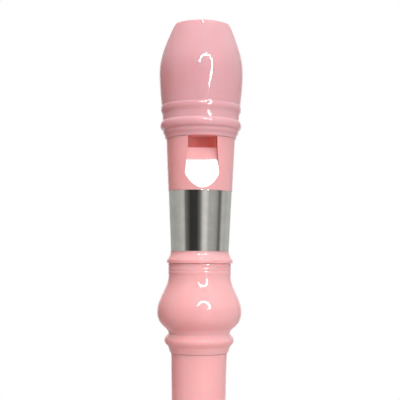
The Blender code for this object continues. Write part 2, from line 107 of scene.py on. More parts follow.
class Desk:
    """A node tree with short ways to add nodes and join them."""

    def __init__(self, tree: bpy.types.NodeTree) -> None:
        """Work on a tree."""
        self.tree = tree

    def add(self, kind: str, inputs: dict | None = None, **settings: object) -> bpy.types.Node:
        """Add a node.

        Args:
            kind: The node's type name.
            inputs: What each input gets, a plain value or the output that feeds it, by name or place.
            settings: The node's own settings.

        Returns:
            The new node.
        """
        node = self.tree.nodes.new(kind)
        for name, value in settings.items():
            setattr(node, name, value)
        for key, value in (inputs or {}).items():
            if isinstance(value, bpy.types.NodeSocket):
                self.tree.links.new(value, node.inputs[key])
            else:
                node.inputs[key].default_value = value
        return node

    def math(self, operation: str, *values: object) -> Socket:
        """Add a Math node and return its result."""
        return self.add("ShaderNodeMath", dict(enumerate(values)), operation=operation).outputs[0]

    def mottle(self, place: Socket, size: float, detail: float = 3.0) -> Socket:
        """Clouds of about the given size, as shares round a half."""
        clouds = self.add("ShaderNodeTexNoise", {"Vector": place, "Scale": 1 / size, "Detail": detail})
        return clouds.outputs["Fac"]

    def tint(self, share: Socket, first: Colour, second: Colour) -> Socket:
        """Go from the first colour to the second where clouds thicken.

        Args:
            share: How thick the clouds are.
            first: The colour where they are thin.
            second: The colour where they are thick.

        Returns:
            The mixed colour.
        """
        ramp = self.add("ShaderNodeValToRGB", {"Fac": share})
        for element, place, colour in zip(ramp.color_ramp.elements, CLOUD_ENDS, (first, second)):
            element.position = place
            element.color = (*colour, 1)
        return ramp.outputs["Color"]

    def gloss(self, share: Socket, ends: Point) -> Socket:
        """Go from the first roughness to the second where clouds thicken."""
        return self.add("ShaderNodeMapRange", {"Value": share, "From Min": CLOUD_ENDS[0],
                                               "From Max": CLOUD_ENDS[1], "To Min": ends[0],
                                               "To Max": ends[1]}).outputs[0]

    def bump(self, height: Socket, depth: float, under: Socket | None = None) -> Socket:
        """Raise a surface, over another bump where one is given.

        Args:
            height: Share of the depth that each place is raised by.
            depth: The most that it is raised by.
            under: The bump that this one lies on.

        Returns:
            The bumped normal.
        """
        inputs = {"Height": height, "Strength": 1.0, "Distance": depth}
        if under:
            inputs["Normal"] = under
        return self.add("ShaderNodeBump", inputs).outputs[0]


@dataclass(frozen=True)
class Finish:
    """What every finish has: a material of its own name, painted at its first use."""

    name: str
    shift: Colour = (0.0, 0.0, 0.0)         # moves the pattern on this piece

    def material(self) -> bpy.types.Material:
        """Find the finish's material, or paint it.

        Returns:
            The material.
        """
        material = bpy.data.materials.get(self.name)
        if material:
            return material
        material = bpy.data.materials.new(self.name)
        material.use_nodes = True
        desk = Desk(material.node_tree)
        place = desk.add("ShaderNodeTexCoord").outputs["Object"]
        place = desk.add("ShaderNodeMapping", {"Vector": place, "Location": self.shift}).outputs[0]
        shader = material.node_tree.nodes["Principled BSDF"].inputs
        for name, value in self.paint(desk, place).items():
            if isinstance(value, bpy.types.NodeSocket):
                desk.tree.links.new(value, shader[name])
            else:
                shader[name].default_value = value
        return material

    def paint(self, desk: Desk, place: Socket) -> dict:
        """Say what each of the shader's inputs gets.

        Args:
            desk: The material's tree.
            place: Where the surface is.

        Returns:
            A plain value or the output that feeds it, by the input's name.
        """
        raise NotImplementedError


@dataclass(frozen=True, kw_only=True)
class MouldedPlastic(Finish):
    """Injection-moulded plastic, glossy and a little translucent.

    Its surface has shallow sink ripples and the fine rings of a turned mould, and its gloss and colour
    vary slowly from place to place.
    """

    colour: Colour
    deep_colour: Colour
    cloud_size: float = 26.0 * MM
    roughness: Point = (0.02, 0.045)
    smudge_size: float = 6.0 * MM
    ior: float = 1.5
    glow: float = 1.0                       # share of the light that goes under the surface
    glow_reach: float = 1.5 * MM
    glow_tint: Colour = (1.0, 0.5, 0.45)    # how far each of red, green and blue gets
    ripple_size: float = 13.0 * MM
    ripple_depth: float = 0.02 * MM
    ring_pitch: float = 0.9 * MM
    ring_depth: float = 0.0006 * MM
    ring_wander: float = 1.5

    def paint(self, desk: Desk, place: Socket) -> dict:
        """Paint it pink with deeper clouds, ripples and mould rings.

        Args:
            desk: The material's tree.
            place: Where the surface is.

        Returns:
            A plain value or the output that feeds it, by the input's name.
        """
        rings = desk.add("ShaderNodeTexWave", {"Vector": place, "Distortion": self.ring_wander, "Detail": 2.0,
                                               "Scale": math.tau / (WAVE_FACTOR * self.ring_pitch)},
                         wave_type="BANDS", bands_direction="Z").outputs["Fac"]
        ripples = desk.bump(desk.mottle(place, self.ripple_size, detail=1.0), self.ripple_depth)
        return {"Base Color": desk.tint(desk.mottle(place, self.cloud_size), self.colour, self.deep_colour),
                "Roughness": desk.gloss(desk.mottle(place, self.smudge_size), self.roughness),
                "Normal": desk.bump(rings, self.ring_depth, ripples),
                "Subsurface Weight": self.glow,
                "Subsurface Radius": self.glow_tint,
                "Subsurface Scale": self.glow_reach,
                "IOR": self.ior}


@dataclass(frozen=True)
class MirrorFoil(Finish):
    """Bare metallised foil, a mirror with the slight unevenness of what it is wrapped on."""

    colour: Colour = (0.88, 0.86, 0.79)
    dull_colour: Colour = (0.80, 0.78, 0.72)
    roughness: Point = (0.02, 0.06)
    smudge_size: float = 4.0 * MM
    wave_size: float = 9.0 * MM
    wave_depth: float = 0.02 * MM

    def paint(self, desk: Desk, place: Socket) -> dict:
        """Paint it silver with faint smudges and waves.

        Args:
            desk: The material's tree.
            place: Where the surface is.

        Returns:
            A plain value or the output that feeds it, by the input's name.
        """
        smudges = desk.mottle(place, self.smudge_size, detail=5.0)
        return {"Base Color": desk.tint(smudges, self.colour, self.dull_colour),
                "Roughness": desk.gloss(smudges, self.roughness),
                "Normal": desk.bump(desk.mottle(place, self.wave_size, detail=1.5), self.wave_depth),
                "Metallic": 1.0}


@dataclass(frozen=True)
class SealRubber(Finish):
    """Matt black rubber with a film of grease."""

    colour: Colour = (0.012, 0.012, 0.013)
    greased_colour: Colour = (0.03, 0.029, 0.027)
    roughness: Point = (0.32, 0.6)
    film_size: float = 2.4 * MM
    film_depth: float = 0.006 * MM

    def paint(self, desk: Desk, place: Socket) -> dict:
        """Paint it black with a mottled film.

        Args:
            desk: The material's tree.
            place: Where the surface is.

        Returns:
            A plain value or the output that feeds it, by the input's name.
        """
        film = desk.mottle(place, self.film_size, detail=4.0)
        return {"Base Color": desk.tint(film, self.colour, self.greased_colour),
                "Roughness": desk.gloss(film, self.roughness),
                "Normal": desk.bump(film, self.film_depth)}


BEAK = MouldedPlastic("beak_pink", colour=(0.745, 0.465, 0.505), deep_colour=(0.72, 0.435, 0.47),
                      ripple_depth=0.006 * MM, ring_depth=0.0001 * MM)
BLOCK = MouldedPlastic("block_pink", colour=(0.80, 0.45, 0.48), deep_colour=(0.78, 0.42, 0.45),
                       roughness=(0.2, 0.32))
TUBE = MouldedPlastic("tube_pink", (0.03, 0.0, 0.02), colour=(0.86, 0.505, 0.52),
                      deep_colour=(0.84, 0.475, 0.49))
SOCKET = MouldedPlastic("socket_pink", (0.0, 0.05, 0.07), colour=(0.865, 0.525, 0.54),
                        deep_colour=(0.845, 0.49, 0.50))
MIDDLE = MouldedPlastic("middle_pink", (0.02, 0.01, 0.0), colour=(0.91, 0.55, 0.56),
                        deep_colour=(0.89, 0.51, 0.52))
FOOT = MouldedPlastic("foot_pink", (0.0, 0.02, 0.04), colour=(0.91, 0.54, 0.55),
                      deep_colour=(0.89, 0.50, 0.51))
FOIL = MirrorFoil("mirror_foil")
RUBBER = SealRubber("seal_rubber_black")


@dataclass
class Outline:
    """The side outline of a turned piece, as (radius, height) points in order."""

    points: list[Point] = field(default_factory=list)

    def to(self, *points: Point) -> None:
        """Run straight through the given points."""
        self.points.extend(points)

    def arrive(self, radius: float, height: float) -> None:
        """Curve to a point, parallel to the axis where it ends."""
        self.curve(radius, height, CURVE_STEPS, lambda share: math.sin(math.pi * share / 2))

    def depart(self, radius: float, height: float) -> None:
        """Curve to a point, parallel to the axis where it starts."""
        self.curve(radius, height, CURVE_STEPS, lambda share: 1 - math.cos(math.pi * share / 2))

    def ogee(self, radius: float, height: float) -> None:
        """Curve to a point in an S, parallel to the axis at both ends."""
        self.curve(radius, height, OGEE_STEPS, lambda share: (1 - math.cos(math.pi * share)) / 2)

    def curve(self, radius: float, height: float, steps: int, rule: Callable[[float], float]) -> None:
        """Curve from the last point to a new one.

        Args:
            radius: The new point's radius.
            height: The new point's height.
            steps: How many short lines draw the curve.
            rule: Gives the share of the change in radius from the share of the change in height.
        """
        start_radius, start_height = self.points[-1]
        for step in range(1, steps + 1):
            share = step / steps
            self.points.append((start_radius + (radius - start_radius) * rule(share),
                                start_height + (height - start_height) * share))

    def bead(self, base: float, peak: float, centre: float, width: float) -> None:
        """Go down over a half-round bead.

        Args:
            base: Radius of the wall that the bead stands on.
            peak: Radius of the bead's crest.
            centre: Height of its crest.
            width: Its height along the wall.
        """
        for step in range(BEAD_STEPS + 1):
            angle = math.pi * step / BEAD_STEPS
            self.points.append((base + (peak - base) * math.sin(angle),
                                centre + width / 2 * math.cos(angle)))

    def swell(self, base: float, peak: float, centre: float, width: float, steps: int = BEAD_STEPS) -> None:
        """Go down over a swelling that rises and falls as half a wave.

        Args:
            base: Radius of the wall that it stands on.
            peak: Radius of its crest.
            centre: Height of its crest.
            width: Its height along the wall.
            steps: How many short lines draw it.
        """
        for step in range(1, steps):
            share = step / steps
            self.points.append((base + (peak - base) * math.sin(math.pi * share),
                                centre + width * (0.5 - share)))

    def rounded(self, size: float, closed: bool = True) -> list[Point]:
        """Round every corner.

        The outline is cut into steps of a third of the size, averaged along itself, and thinned where
        it runs straight.

        Args:
            size: Roughly the radius that a square corner gets.
            closed: Whether the last point runs on to the first.

        Returns:
            The points of the rounded outline.
        """
        dense = self.stepped(size / 3, closed)
        count = len(dense)
        for _ in range(SMOOTHINGS):
            smooth = list(dense)
            for index in range(0 if closed else 1, count if closed else count - 1):
                before, here, after = dense[index - 1], dense[index], dense[(index + 1) % count]
                smooth[index] = tuple((a + 2 * b + c) / 4 for a, b, c in zip(before, here, after))
            dense = smooth
        return thinned(dense)

    def stepped(self, step: float, closed: bool) -> list[Point]:
        """Cut the outline into even steps.

        Args:
            step: Roughly how long a step is.
            closed: Whether the last point runs on to the first.

        Returns:
            The ends of the steps.
        """
        corners = self.points + (self.points[:1] if closed else [])
        even: list[Point] = []
        for start, end in zip(corners, corners[1:]):
            parts = max(1, round(math.dist(start, end) / step))
            even += [tuple(a + (b - a) * part / parts for a, b in zip(start, end))
                     for part in range(parts)]
        return even if closed else even + corners[-1:]


def thinned(points: list[Point]) -> list[Point]:
    """Leave out points where a line runs straight.

    Args:
        points: The line's points.

    Returns:
        The points that stay.
    """
    kept = [points[0]]
    turned_by = 0.0
    for before, here, after in zip(points, points[1:], points[2:]):
        arriving = Vector(here) - Vector(before)
        leaving = Vector(after) - Vector(here)
        if arriving.length and leaving.length:
            turned_by += abs(arriving.angle_signed(leaving))
        if turned_by > THIN_TURN or math.dist(kept[-1], here) > THIN_REACH:
            kept.append(here)
            turned_by = 0.0
    return kept + [points[-1]]


def round_section(radius: float, height: float) -> Ring:
    """A circle of points round the axis."""
    angles = [math.tau * step / FACETS for step in range(FACETS)]
    return [(radius * math.sin(angle), -radius * math.cos(angle), height) for angle in angles]


def loft(name: str, rings: list[Ring], closed: bool = False) -> bpy.types.Mesh:
    """Skin rings of the same number of points.

    Args:
        name: The mesh's name.
        rings: The rings in order.
        closed: Whether the last ring joins the first. If not, the first and last ring are filled.

    Returns:
        The mesh, facing outwards.
    """
    shape = bmesh.new()
    rows = [[shape.verts.new(point) for point in ring] for ring in rings]
    joined = rows + rows[:1] if closed else rows
    for row, following in zip(joined, joined[1:]):
        for index in range(len(row)):
            after = (index + 1) % len(row)
            shape.faces.new((row[index], row[after], following[after], following[index]))
    if not closed:
        shape.faces.new(rows[0])
        shape.faces.new(rows[-1])
    bmesh.ops.recalc_face_normals(shape, faces=shape.faces)
    mesh = bpy.data.meshes.new(name)
    shape.to_mesh(mesh)
    shape.free()
    return mesh


def turned(name: str, outline: list[Point]) -> bpy.types.Mesh:
    """Spin a closed outline round the axis."""
    return loft(name, [round_section(radius, height) for radius, height in outline], closed=True)


def side_prism(name: str, outline: list[Point], half_width: float) -> bpy.types.Mesh:
    """A prism across the instrument from an outline of (distance in front of the axis, height) points."""
    sides = [[(x, -distance, height) for distance, height in outline] for x in (-half_width, half_width)]
    return loft(name, sides)


def plain_mesh(thing: bpy.types.Object) -> bpy.types.Mesh:
    """The mesh that a thing's modifiers make of it."""
    graph = bpy.context.evaluated_depsgraph_get()
    return bpy.data.meshes.new_from_object(thing.evaluated_get(graph), preserve_all_data_layers=True,
                                           depsgraph=graph)


def put(name: str, data: bpy.types.ID) -> bpy.types.Object:
    """Put a thing into the scene, at the origin.

    Args:
        name: The object's name.
        data: Its mesh, light or camera.

    Returns:
        The object.
    """
    thing = bpy.data.objects.new(name, data)
    bpy.context.scene.collection.objects.link(thing)
    return thing


def combine(mesh: bpy.types.Mesh, cut: Cut, *tools: bpy.types.Mesh) -> bpy.types.Mesh:
    """Apply solid tools to a mesh.

    Args:
        mesh: What is worked on.
        cut: Whether the tools are cut away from it, or it is cut down to them.
        tools: The solids that do it.

    Returns:
        The worked mesh.
    """
    blank = put("blank", mesh)
    helpers = [put("tool", tool) for tool in tools]
    for helper in helpers:
        boolean = blank.modifiers.new("cut", "BOOLEAN")
        boolean.operation = cut.value
        boolean.solver = "EXACT"
        boolean.object = helper
    worked = plain_mesh(blank)
    for thing in (blank, *helpers):
        bpy.data.objects.remove(thing)
    return worked


def ease_edges(mesh: bpy.types.Mesh, width: float) -> None:
    """Take the sharpness off the edges that cutting left.

    Args:
        mesh: The cut mesh, changed in place.
        width: How wide the eased edge is.
    """
    shape = bmesh.new()
    shape.from_mesh(mesh)
    bmesh.ops.remove_doubles(shape, verts=shape.verts, dist=HAIRLINE / 10)
    bmesh.ops.dissolve_degenerate(shape, edges=shape.edges, dist=HAIRLINE / 10)
    hard = [edge for edge in shape.edges if edge.is_manifold and edge.calc_face_angle() > HARD_EDGE]
    bmesh.ops.bevel(shape, geom=hard, offset=width, offset_type="OFFSET", segments=2, profile=0.5,
                    affect="EDGES", clamp_overlap=True)
    shape.to_mesh(mesh)
    shape.free()


class Assembly:
    """What every sub-assembly does with a finished mesh."""

    def dress(self, name: str, mesh: bpy.types.Mesh, node: str, body: Body, slot: Slot,
              finish: Finish, flat_area: float = FLAT_AREA) -> bpy.types.Object:
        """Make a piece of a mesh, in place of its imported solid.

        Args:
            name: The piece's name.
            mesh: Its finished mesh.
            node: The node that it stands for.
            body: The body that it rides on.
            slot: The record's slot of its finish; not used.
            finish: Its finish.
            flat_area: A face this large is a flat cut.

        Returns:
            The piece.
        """
        mesh.materials.clear()
        mesh.materials.append(finish.material())
        mesh.shade_smooth()
        mesh.set_sharp_from_angle(angle=CREASE)
        for face in mesh.polygons:
            face.use_smooth = face.area < flat_area
            face.material_index = 0
        piece = put(name, mesh)
        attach(piece, body.value)
        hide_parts(node)
        log.info("%s: %d faces in %s, on %s", name, len(mesh.polygons), finish.name, body.value)
        return piece


@dataclass
class Mouthpiece(Assembly):
    """The beak with its rings, and the block that fills it up to the windway."""

    tip_radius: float = 11.4 * MM
    tip_thickness: float = 6.0 * MM
    lip_round: float = 0.7 * MM
    lip_steps: int = 7
    shoulder: Point = (14.4 * MM, 9.5 * MM)     # radius, and depth below the tip
    widest: Point = (15.7 * MM, 17.3 * MM)
    foot_radius: float = 14.75 * MM
    hollow_length: float = 28.0 * MM
    hollow_radius: float = 41.0 * MM
    side_sharpness: float = 40.0            # of the edges between the hollow and the round front
    rib: Point = (15.0 * MM, 11.3 * MM)     # radius, and height above the rim
    rib_width: float = 2.2 * MM
    cove_radius: float = 14.35 * MM
    bead: Point = (15.15 * MM, 5.05 * MM)
    bead_width: float = 3.2 * MM
    step: Point = (14.1 * MM, 2.5 * MM)
    rim_radius: float = 13.35 * MM
    rim_height: float = 0.9 * MM
    rim_round: float = 0.4 * MM
    skirt_radius: float = 11.6 * MM
    skirt_depth: float = 12.3 * MM
    bore: float = 6.75 * MM
    windway_half_width: float = 5.35 * MM
    floor: Point = (7.3 * MM, 7.35 * MM)    # distance from the axis at the tip and at the rim
    roof: Point = (8.7 * MM, 8.4 * MM)
    corner: float = 0.35 * MM               # of the windway's roof
    corner_steps: int = 6
    chamfer: float = 0.5 * MM               # of the windway's exit
    edge: float = 0.22 * MM
    cut_edge: float = 0.12 * MM             # where the bore and the windway break through

    def __post_init__(self) -> None:
        """Read the tip's and the rim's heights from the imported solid."""
        low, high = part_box("mouthpiece_cap")
        self.rim = low.z
        self.tip = high.z

    def build(self) -> None:
        """Build and dress the cap and the block."""
        beak = self.beak_blank()
        cap = combine(beak.copy(), Cut.AWAY, self.bore_tool(), self.windway_tool())
        ease_edges(cap, self.cut_edge)
        self.dress("beak_cap", cap, "mouthpiece_cap", Body.HEAD, Slot.SHELL, BEAK)
        block = combine(self.block_blank(), Cut.DOWN_TO, beak)
        self.dress("windway_plug", block, "windway_block", Body.HEAD, Slot.BLOCK, BLOCK)

    def outline(self) -> list[Point]:
        """Draw the cap's outline, from the tip down its outside and up inside its skirt.

        Returns:
            The outline's points.
        """
        rim = self.rim
        rib_radius, rib_height = self.rib
        bead_radius, bead_height = self.bead
        step_radius, step_height = self.step
        outline = Outline([(self.tip_radius, self.tip)])
        outline.to((self.shoulder[0], self.tip - self.shoulder[1]))
        outline.arrive(self.widest[0], self.tip - self.widest[1])
        outline.depart(self.foot_radius, rim + rib_height + self.rib_width / 2)
        outline.bead(self.foot_radius, rib_radius, rim + rib_height, self.rib_width)
        outline.to((self.cove_radius, rim + rib_height - self.rib_width))
        outline.bead(self.cove_radius, bead_radius, rim + bead_height, self.bead_width)
        outline.to((step_radius, rim + bead_height - self.bead_width / 2 - self.edge))
        outline.to((step_radius, rim + step_height))
        outline.ogee(self.rim_radius, rim + self.rim_height)
        skirt = self.skirt_radius + HAIRLINE
        turn = self.rim_round * (1 - math.sqrt(0.5))
        outline.to((self.rim_radius, rim + self.rim_round), (self.rim_radius - turn, rim + turn),
                   (self.rim_radius - self.rim_round, rim), (skirt, rim),
                   (skirt, rim + self.skirt_depth))
        outline.to((self.bore / 2, rim + self.skirt_depth))
        return outline.rounded(self.edge, closed=False)

    def hollow(self, height: float) -> float:
        """Measure how far behind the axis the beak's hollow back lies.

        Args:
            height: Where along the beak it is measured.

        Returns:
            The distance, less than nothing where the back lies in front of the axis.
        """
        tip = Vector((self.tip_radius - self.tip_thickness, self.tip))
        back = Vector((-self.widest[0], self.tip - self.hollow_length))
        chord = back - tip
        away = Vector((chord.y, -chord.x)).normalized()
        centre = (tip + back) / 2 + away * math.sqrt(self.hollow_radius ** 2 - (chord.length / 2) ** 2)
        rise = min(abs(height - centre.y), self.hollow_radius * 0.999)     # stays on the hollow's circle
        return -centre.x - math.sqrt(self.hollow_radius ** 2 - rise ** 2)

    def beak_section(self, radius: float, height: float, inset: float = 0.0) -> Ring:
        """Draw the beak's section at one height: round in front, straight across its hollow back.

        Args:
            radius: Radius of the round front.
            height: Height of the section.
            inset: How far the lip's rounding takes it in.

        Returns:
            The section's points.
        """
        back = min(self.hollow(height), 2 * self.widest[0]) - inset
        front = radius - inset
        middle = (min(back, front) - front) / 2
        section = []
        for step in range(FACETS):
            angle = math.tau * step / FACETS
            across, along = math.sin(angle), -math.cos(angle)
            to_front = -middle * along + math.sqrt(front ** 2 - (middle * across) ** 2)
            reach = to_front
            if along > 0:
                to_back = (back - middle) / along
                power = self.side_sharpness
                reach = (to_front ** -power + to_back ** -power) ** (-1 / power)
            section.append((reach * across, middle + reach * along, height))
        return section

    def beak_blank(self) -> bpy.types.Mesh:
        """Build the beak and its rings, solid but for the recess of its skirt.

        Returns:
            The mesh.
        """
        rings = []
        for step in range(self.lip_steps):
            angle = math.pi / 2 * step / self.lip_steps
            rings.append(self.beak_section(self.tip_radius, self.tip - self.lip_round * (1 - math.cos(angle)),
                                           self.lip_round * (1 - math.sin(angle))))
        for radius, height in self.outline():
            if height < self.tip - self.lip_round:
                rings.append(self.beak_section(radius, height))
        return loft("beak", rings)

    def bore_tool(self) -> bpy.types.Mesh:
        """Cuts the bore that the block fills."""
        return loft("bore_tool", [round_section(self.bore, height) for height in (self.rim, self.tip + MM)])

    def share(self, height: float) -> float:
        """How far down from the tip to the rim a height is."""
        return (self.tip - height) / (self.tip - self.rim)

    def windway_tool(self) -> bpy.types.Mesh:
        """Build what cuts the windway's roof and sides, widened where it opens at the tip and at the rim.

        Returns:
            The tool, whose sides widen a third as much as its roof rises.
        """
        # heights, each with the share of the chamfer that the roof rises by there
        stations = [(self.tip + self.chamfer, 0.9), (self.tip - self.chamfer / 2, 0.25),
                    (self.tip - 2 * self.chamfer, 0.0), (self.rim + 2 * self.chamfer, 0.0),
                    (self.rim - self.chamfer, 1.0)]
        rings = []
        for height, flare in stations:
            roof = self.roof[0] + (self.roof[1] - self.roof[0]) * self.share(height)
            rings.append(self.slot_section(roof + flare * self.chamfer,
                                           self.windway_half_width + flare * self.chamfer / 3, height))
        return loft("windway_tool", rings)

    def slot_section(self, roof: float, half_width: float, height: float) -> Ring:
        """Draw the windway's section at one height, with rounded upper corners.

        Args:
            roof: Distance of the roof from the axis.
            half_width: Half the width.
            height: Height of the section.

        Returns:
            The section's points.
        """
        ring = [(-half_width, 0.0, height)]
        for side, start in ((-1, 0.0), (1, math.pi / 2)):
            for step in range(self.corner_steps + 1):
                angle = start + math.pi / 2 * step / self.corner_steps
                ring.append((side * (half_width - self.corner) - self.corner * math.cos(angle),
                             -(roof - self.corner) - self.corner * math.sin(angle), height))
        return ring + [(half_width, 0.0, height)]

    def block_blank(self) -> bpy.types.Mesh:
        """Build the block before its back is cut: round behind, with the windway's flat floor in front.

        Returns:
            The mesh.
        """
        stations = [(self.rim, self.chamfer), (self.rim + self.chamfer, 0.0), (self.tip + MM, 0.0)]
        rings = []
        radius = self.bore - HAIRLINE
        half_width = self.windway_half_width - HAIRLINE
        side = math.asin(half_width / radius)
        for height, drop in stations:
            floor = self.floor[0] + (self.floor[1] - self.floor[0]) * self.share(height) - drop
            ring = [(-half_width, -floor, height), (half_width, -floor, height)]
            for step in range(FACETS + 1):
                angle = side + (math.tau - 2 * side) * step / FACETS
                ring.append((radius * math.sin(angle), -radius * math.cos(angle), height))
            rings.append(ring)
        return loft("block", rings)


@dataclass
class HeadTube(Assembly):
    """The tube with the window and the labium, and the foil band round it."""

    top_radius: float = 12.85 * MM
    throat_radius: float = 10.85 * MM
    cap_spigot: float = 11.6 * MM
    flare_length: float = 2.9 * MM
    flange_radius: float = 12.2 * MM
    flange_thickness: float = 1.2 * MM
    socket_spigot: float = 9.5 * MM
    bore: float = 6.75 * MM
    windway_half_width: float = 5.35 * MM
    roof_exit: float = 8.4 * MM
    cut_up: float = 3.9 * MM                # from the windway's exit to the labium's edge
    labium_distance: float = 8.0 * MM
    labium_thickness: float = 0.45 * MM
    ramp_length: float = 14.9 * MM
    lip_length: float = 5.3 * MM            # of the ramp's upper end, which curves over
    lip_drop: float = 0.17 * MM
    ramp_hollow: float = 0.062 * MM         # how far the ramp sinks in below a flat cut
    ramp_steps: int = 27
    ramp_area: float = 4.0 * MM * MM        # a face this large is a step of the ramp, or flat
    ramp_flare: float = 0.078               # widening of each side for each unit down
    undercut_length: float = 17.0 * MM
    band_thickness: float = 0.3 * MM
    band_proud: float = 0.05 * MM
    edge: float = 0.16 * MM
    cut_edge: float = 0.1 * MM              # of the window and the ramp
    tool_reach: float = 30.0 * MM

    def __post_init__(self) -> None:
        """Read the tube's and the band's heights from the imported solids."""
        self.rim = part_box("mouthpiece_cap")[0].z
        self.flange_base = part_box("head_socket")[1].z
        low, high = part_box("head_tube")
        self.spigot_end = low.z
        self.spigot_top = high.z
        low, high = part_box("band_sleeve")
        self.band_low = low.z
        self.band_high = high.z
        self.throat = self.flange_base + self.flange_thickness + self.flare_length

    def build(self) -> None:
        """Build and dress the tube and the band."""
        tube = combine(turned("tube", self.outline()), Cut.AWAY, self.window_tool(), self.ramp_tool())
        ease_edges(tube, self.cut_edge)
        self.dress("window_tube", tube, "head_tube", Body.HEAD, Slot.SHELL, TUBE, self.ramp_area)
        band = turned("band", self.band_outline())
        self.dress("foil_band", band, "band_sleeve", Body.HEAD, Slot.FOIL, FOIL)

    def radius(self, height: float) -> float:
        """Outer radius of the tube between its throat and the cap's rim."""
        share = (height - self.throat) / (self.rim - self.throat)
        return self.throat_radius + (self.top_radius - self.throat_radius) * share

    def outline(self) -> list[Point]:
        """Draw the tube's outline, down its outside and up its bore.

        Returns:
            The outline's points.
        """
        rim = self.rim - HAIRLINE
        low = self.band_low - HAIRLINE
        high = self.band_high + HAIRLINE
        seat = self.band_thickness - self.band_proud + HAIRLINE
        flange_top = self.flange_base + self.flange_thickness
        outline = Outline([(self.cap_spigot, self.spigot_top), (self.cap_spigot, rim)])
        outline.to((self.radius(rim), rim), (self.radius(high), high), (self.radius(high) - seat, high))
        outline.to((self.radius(low) - seat, low), (self.radius(low), low))
        outline.to((self.throat_radius, self.throat))
        outline.depart(self.flange_radius, flange_top)
        outline.to((self.flange_radius, self.flange_base + HAIRLINE),
                   (self.socket_spigot, self.flange_base + HAIRLINE),
                   (self.socket_spigot, self.spigot_end), (self.bore, self.spigot_end),
                   (self.bore, self.spigot_top))
        return outline.rounded(self.edge)

    def band_outline(self) -> list[Point]:
        """Draw the band's thin outline, rounded by a quarter of its thickness.

        Returns:
            The outline's points.
        """
        high = self.radius(self.band_high) + self.band_proud
        low = self.radius(self.band_low) + self.band_proud
        outline = Outline([(high, self.band_high), (low, self.band_low),
                           (low - self.band_thickness, self.band_low),
                           (high - self.band_thickness, self.band_high)])
        return outline.rounded(self.band_thickness / 4)

    def window_tool(self) -> bpy.types.Mesh:
        """Build what cuts the windway's channel, the window and the undercut behind the labium.

        Returns:
            The tool.
        """
        edge = self.rim - self.cut_up
        top = self.spigot_top + MM
        faded = math.sqrt(self.bore ** 2 - self.windway_half_width ** 2) - HAIRLINE
        return side_prism("window_tool", [
            (0, top),
            (self.roof_exit + HAIRLINE, top),
            (self.roof_exit + HAIRLINE, self.rim),
            (self.tool_reach, self.rim),
            (self.tool_reach, edge),
            (self.labium_distance - self.labium_thickness, edge),
            (faded, edge - self.undercut_length),
            (0, edge - self.undercut_length),
        ], self.windway_half_width)

    def ramp_tool(self) -> bpy.types.Mesh:
        """Build what cuts the labium's ramp, which widens as it goes down.

        Returns:
            The tool, which runs on for two steps past each end of the ramp.
        """
        edge = self.rim - self.cut_up
        end = edge - self.ramp_length
        slope = (self.radius(end) - self.labium_distance) / self.ramp_length
        rings = []
        for step in range(-2, self.ramp_steps + 3):
            run = self.ramp_length * step / self.ramp_steps
            half_width = self.windway_half_width + self.ramp_flare * run
            drop = self.lip_drop * max(0.0, 1 - run / self.lip_length) ** 2
            drop += self.ramp_hollow * (1 - (2 * run / self.ramp_length - 1) ** 2)
            distance = self.labium_distance + slope * run - drop
            corners = [(-half_width, distance), (half_width, distance), (half_width, self.tool_reach),
                       (-half_width, self.tool_reach)]
            rings.append([(x, -y, edge - run) for x, y in corners])
        return loft("ramp_tool", rings)


@dataclass
class HeadSocket(Assembly):
    """The onion-shaped moulding under the flange, with the bead round its mouth."""

    collar_radius: float = 11.5 * MM
    collar_length: float = 4.4 * MM
    ring_count: int = 3                     # fine rings down the collar
    ring_width: float = 1.35 * MM
    ring_height: float = 0.16 * MM
    ring_steps: int = 12
    bulge: Point = (15.57 * MM, 15.2 * MM)  # radius, and height above the mouth
    bulge_power: float = 2.6                # how late the bulge turns in below
    shoulder: Point = (12.42 * MM, 9.0 * MM)
    neck: Point = (11.3 * MM, 7.0 * MM)
    bead: Point = (12.85 * MM, 4.6 * MM)
    bead_width: float = 4.7 * MM
    lip_radius: float = 11.4 * MM
    mouth_radius: float = 10.8 * MM
    mouth_round: float = 0.3 * MM
    socket_bore: float = 8.9 * MM
    spigot_bore: float = 9.5 * MM
    edge: float = 0.25 * MM

    def build(self) -> None:
        """Build and dress the moulding."""
        low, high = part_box("head_socket")
        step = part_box("head_tube")[0].z - HAIRLINE
        mouth = low.z
        outline = Outline([(self.collar_radius, high.z)])
        for ring in range(self.ring_count):
            outline.swell(self.collar_radius, self.collar_radius + self.ring_height,
                          high.z - self.ring_width * (ring + 0.5), self.ring_width, self.ring_steps)
        outline.to((self.collar_radius, high.z - self.collar_length))
        outline.ogee(self.bulge[0], mouth + self.bulge[1])
        outline.curve(self.shoulder[0], mouth + self.shoulder[1], CURVE_STEPS,
                      lambda share: share ** self.bulge_power)
        outline.arrive(self.neck[0], mouth + self.neck[1])
        outline.swell(self.neck[0], self.bead[0], mouth + self.bead[1], self.bead_width)
        outline.to((self.lip_radius, mouth + self.bead[1] - self.bead_width / 2),
                   (self.mouth_radius, mouth + self.mouth_round),
                   (self.mouth_radius - self.mouth_round, mouth),
                   (self.socket_bore, mouth), (self.socket_bore, step),
                   (self.spigot_bore + HAIRLINE, step), (self.spigot_bore + HAIRLINE, high.z))
        socket = turned("socket", outline.rounded(self.edge))
        self.dress("socket_moulding", socket, "head_socket", Body.HEAD, Slot.SHELL, SOCKET)


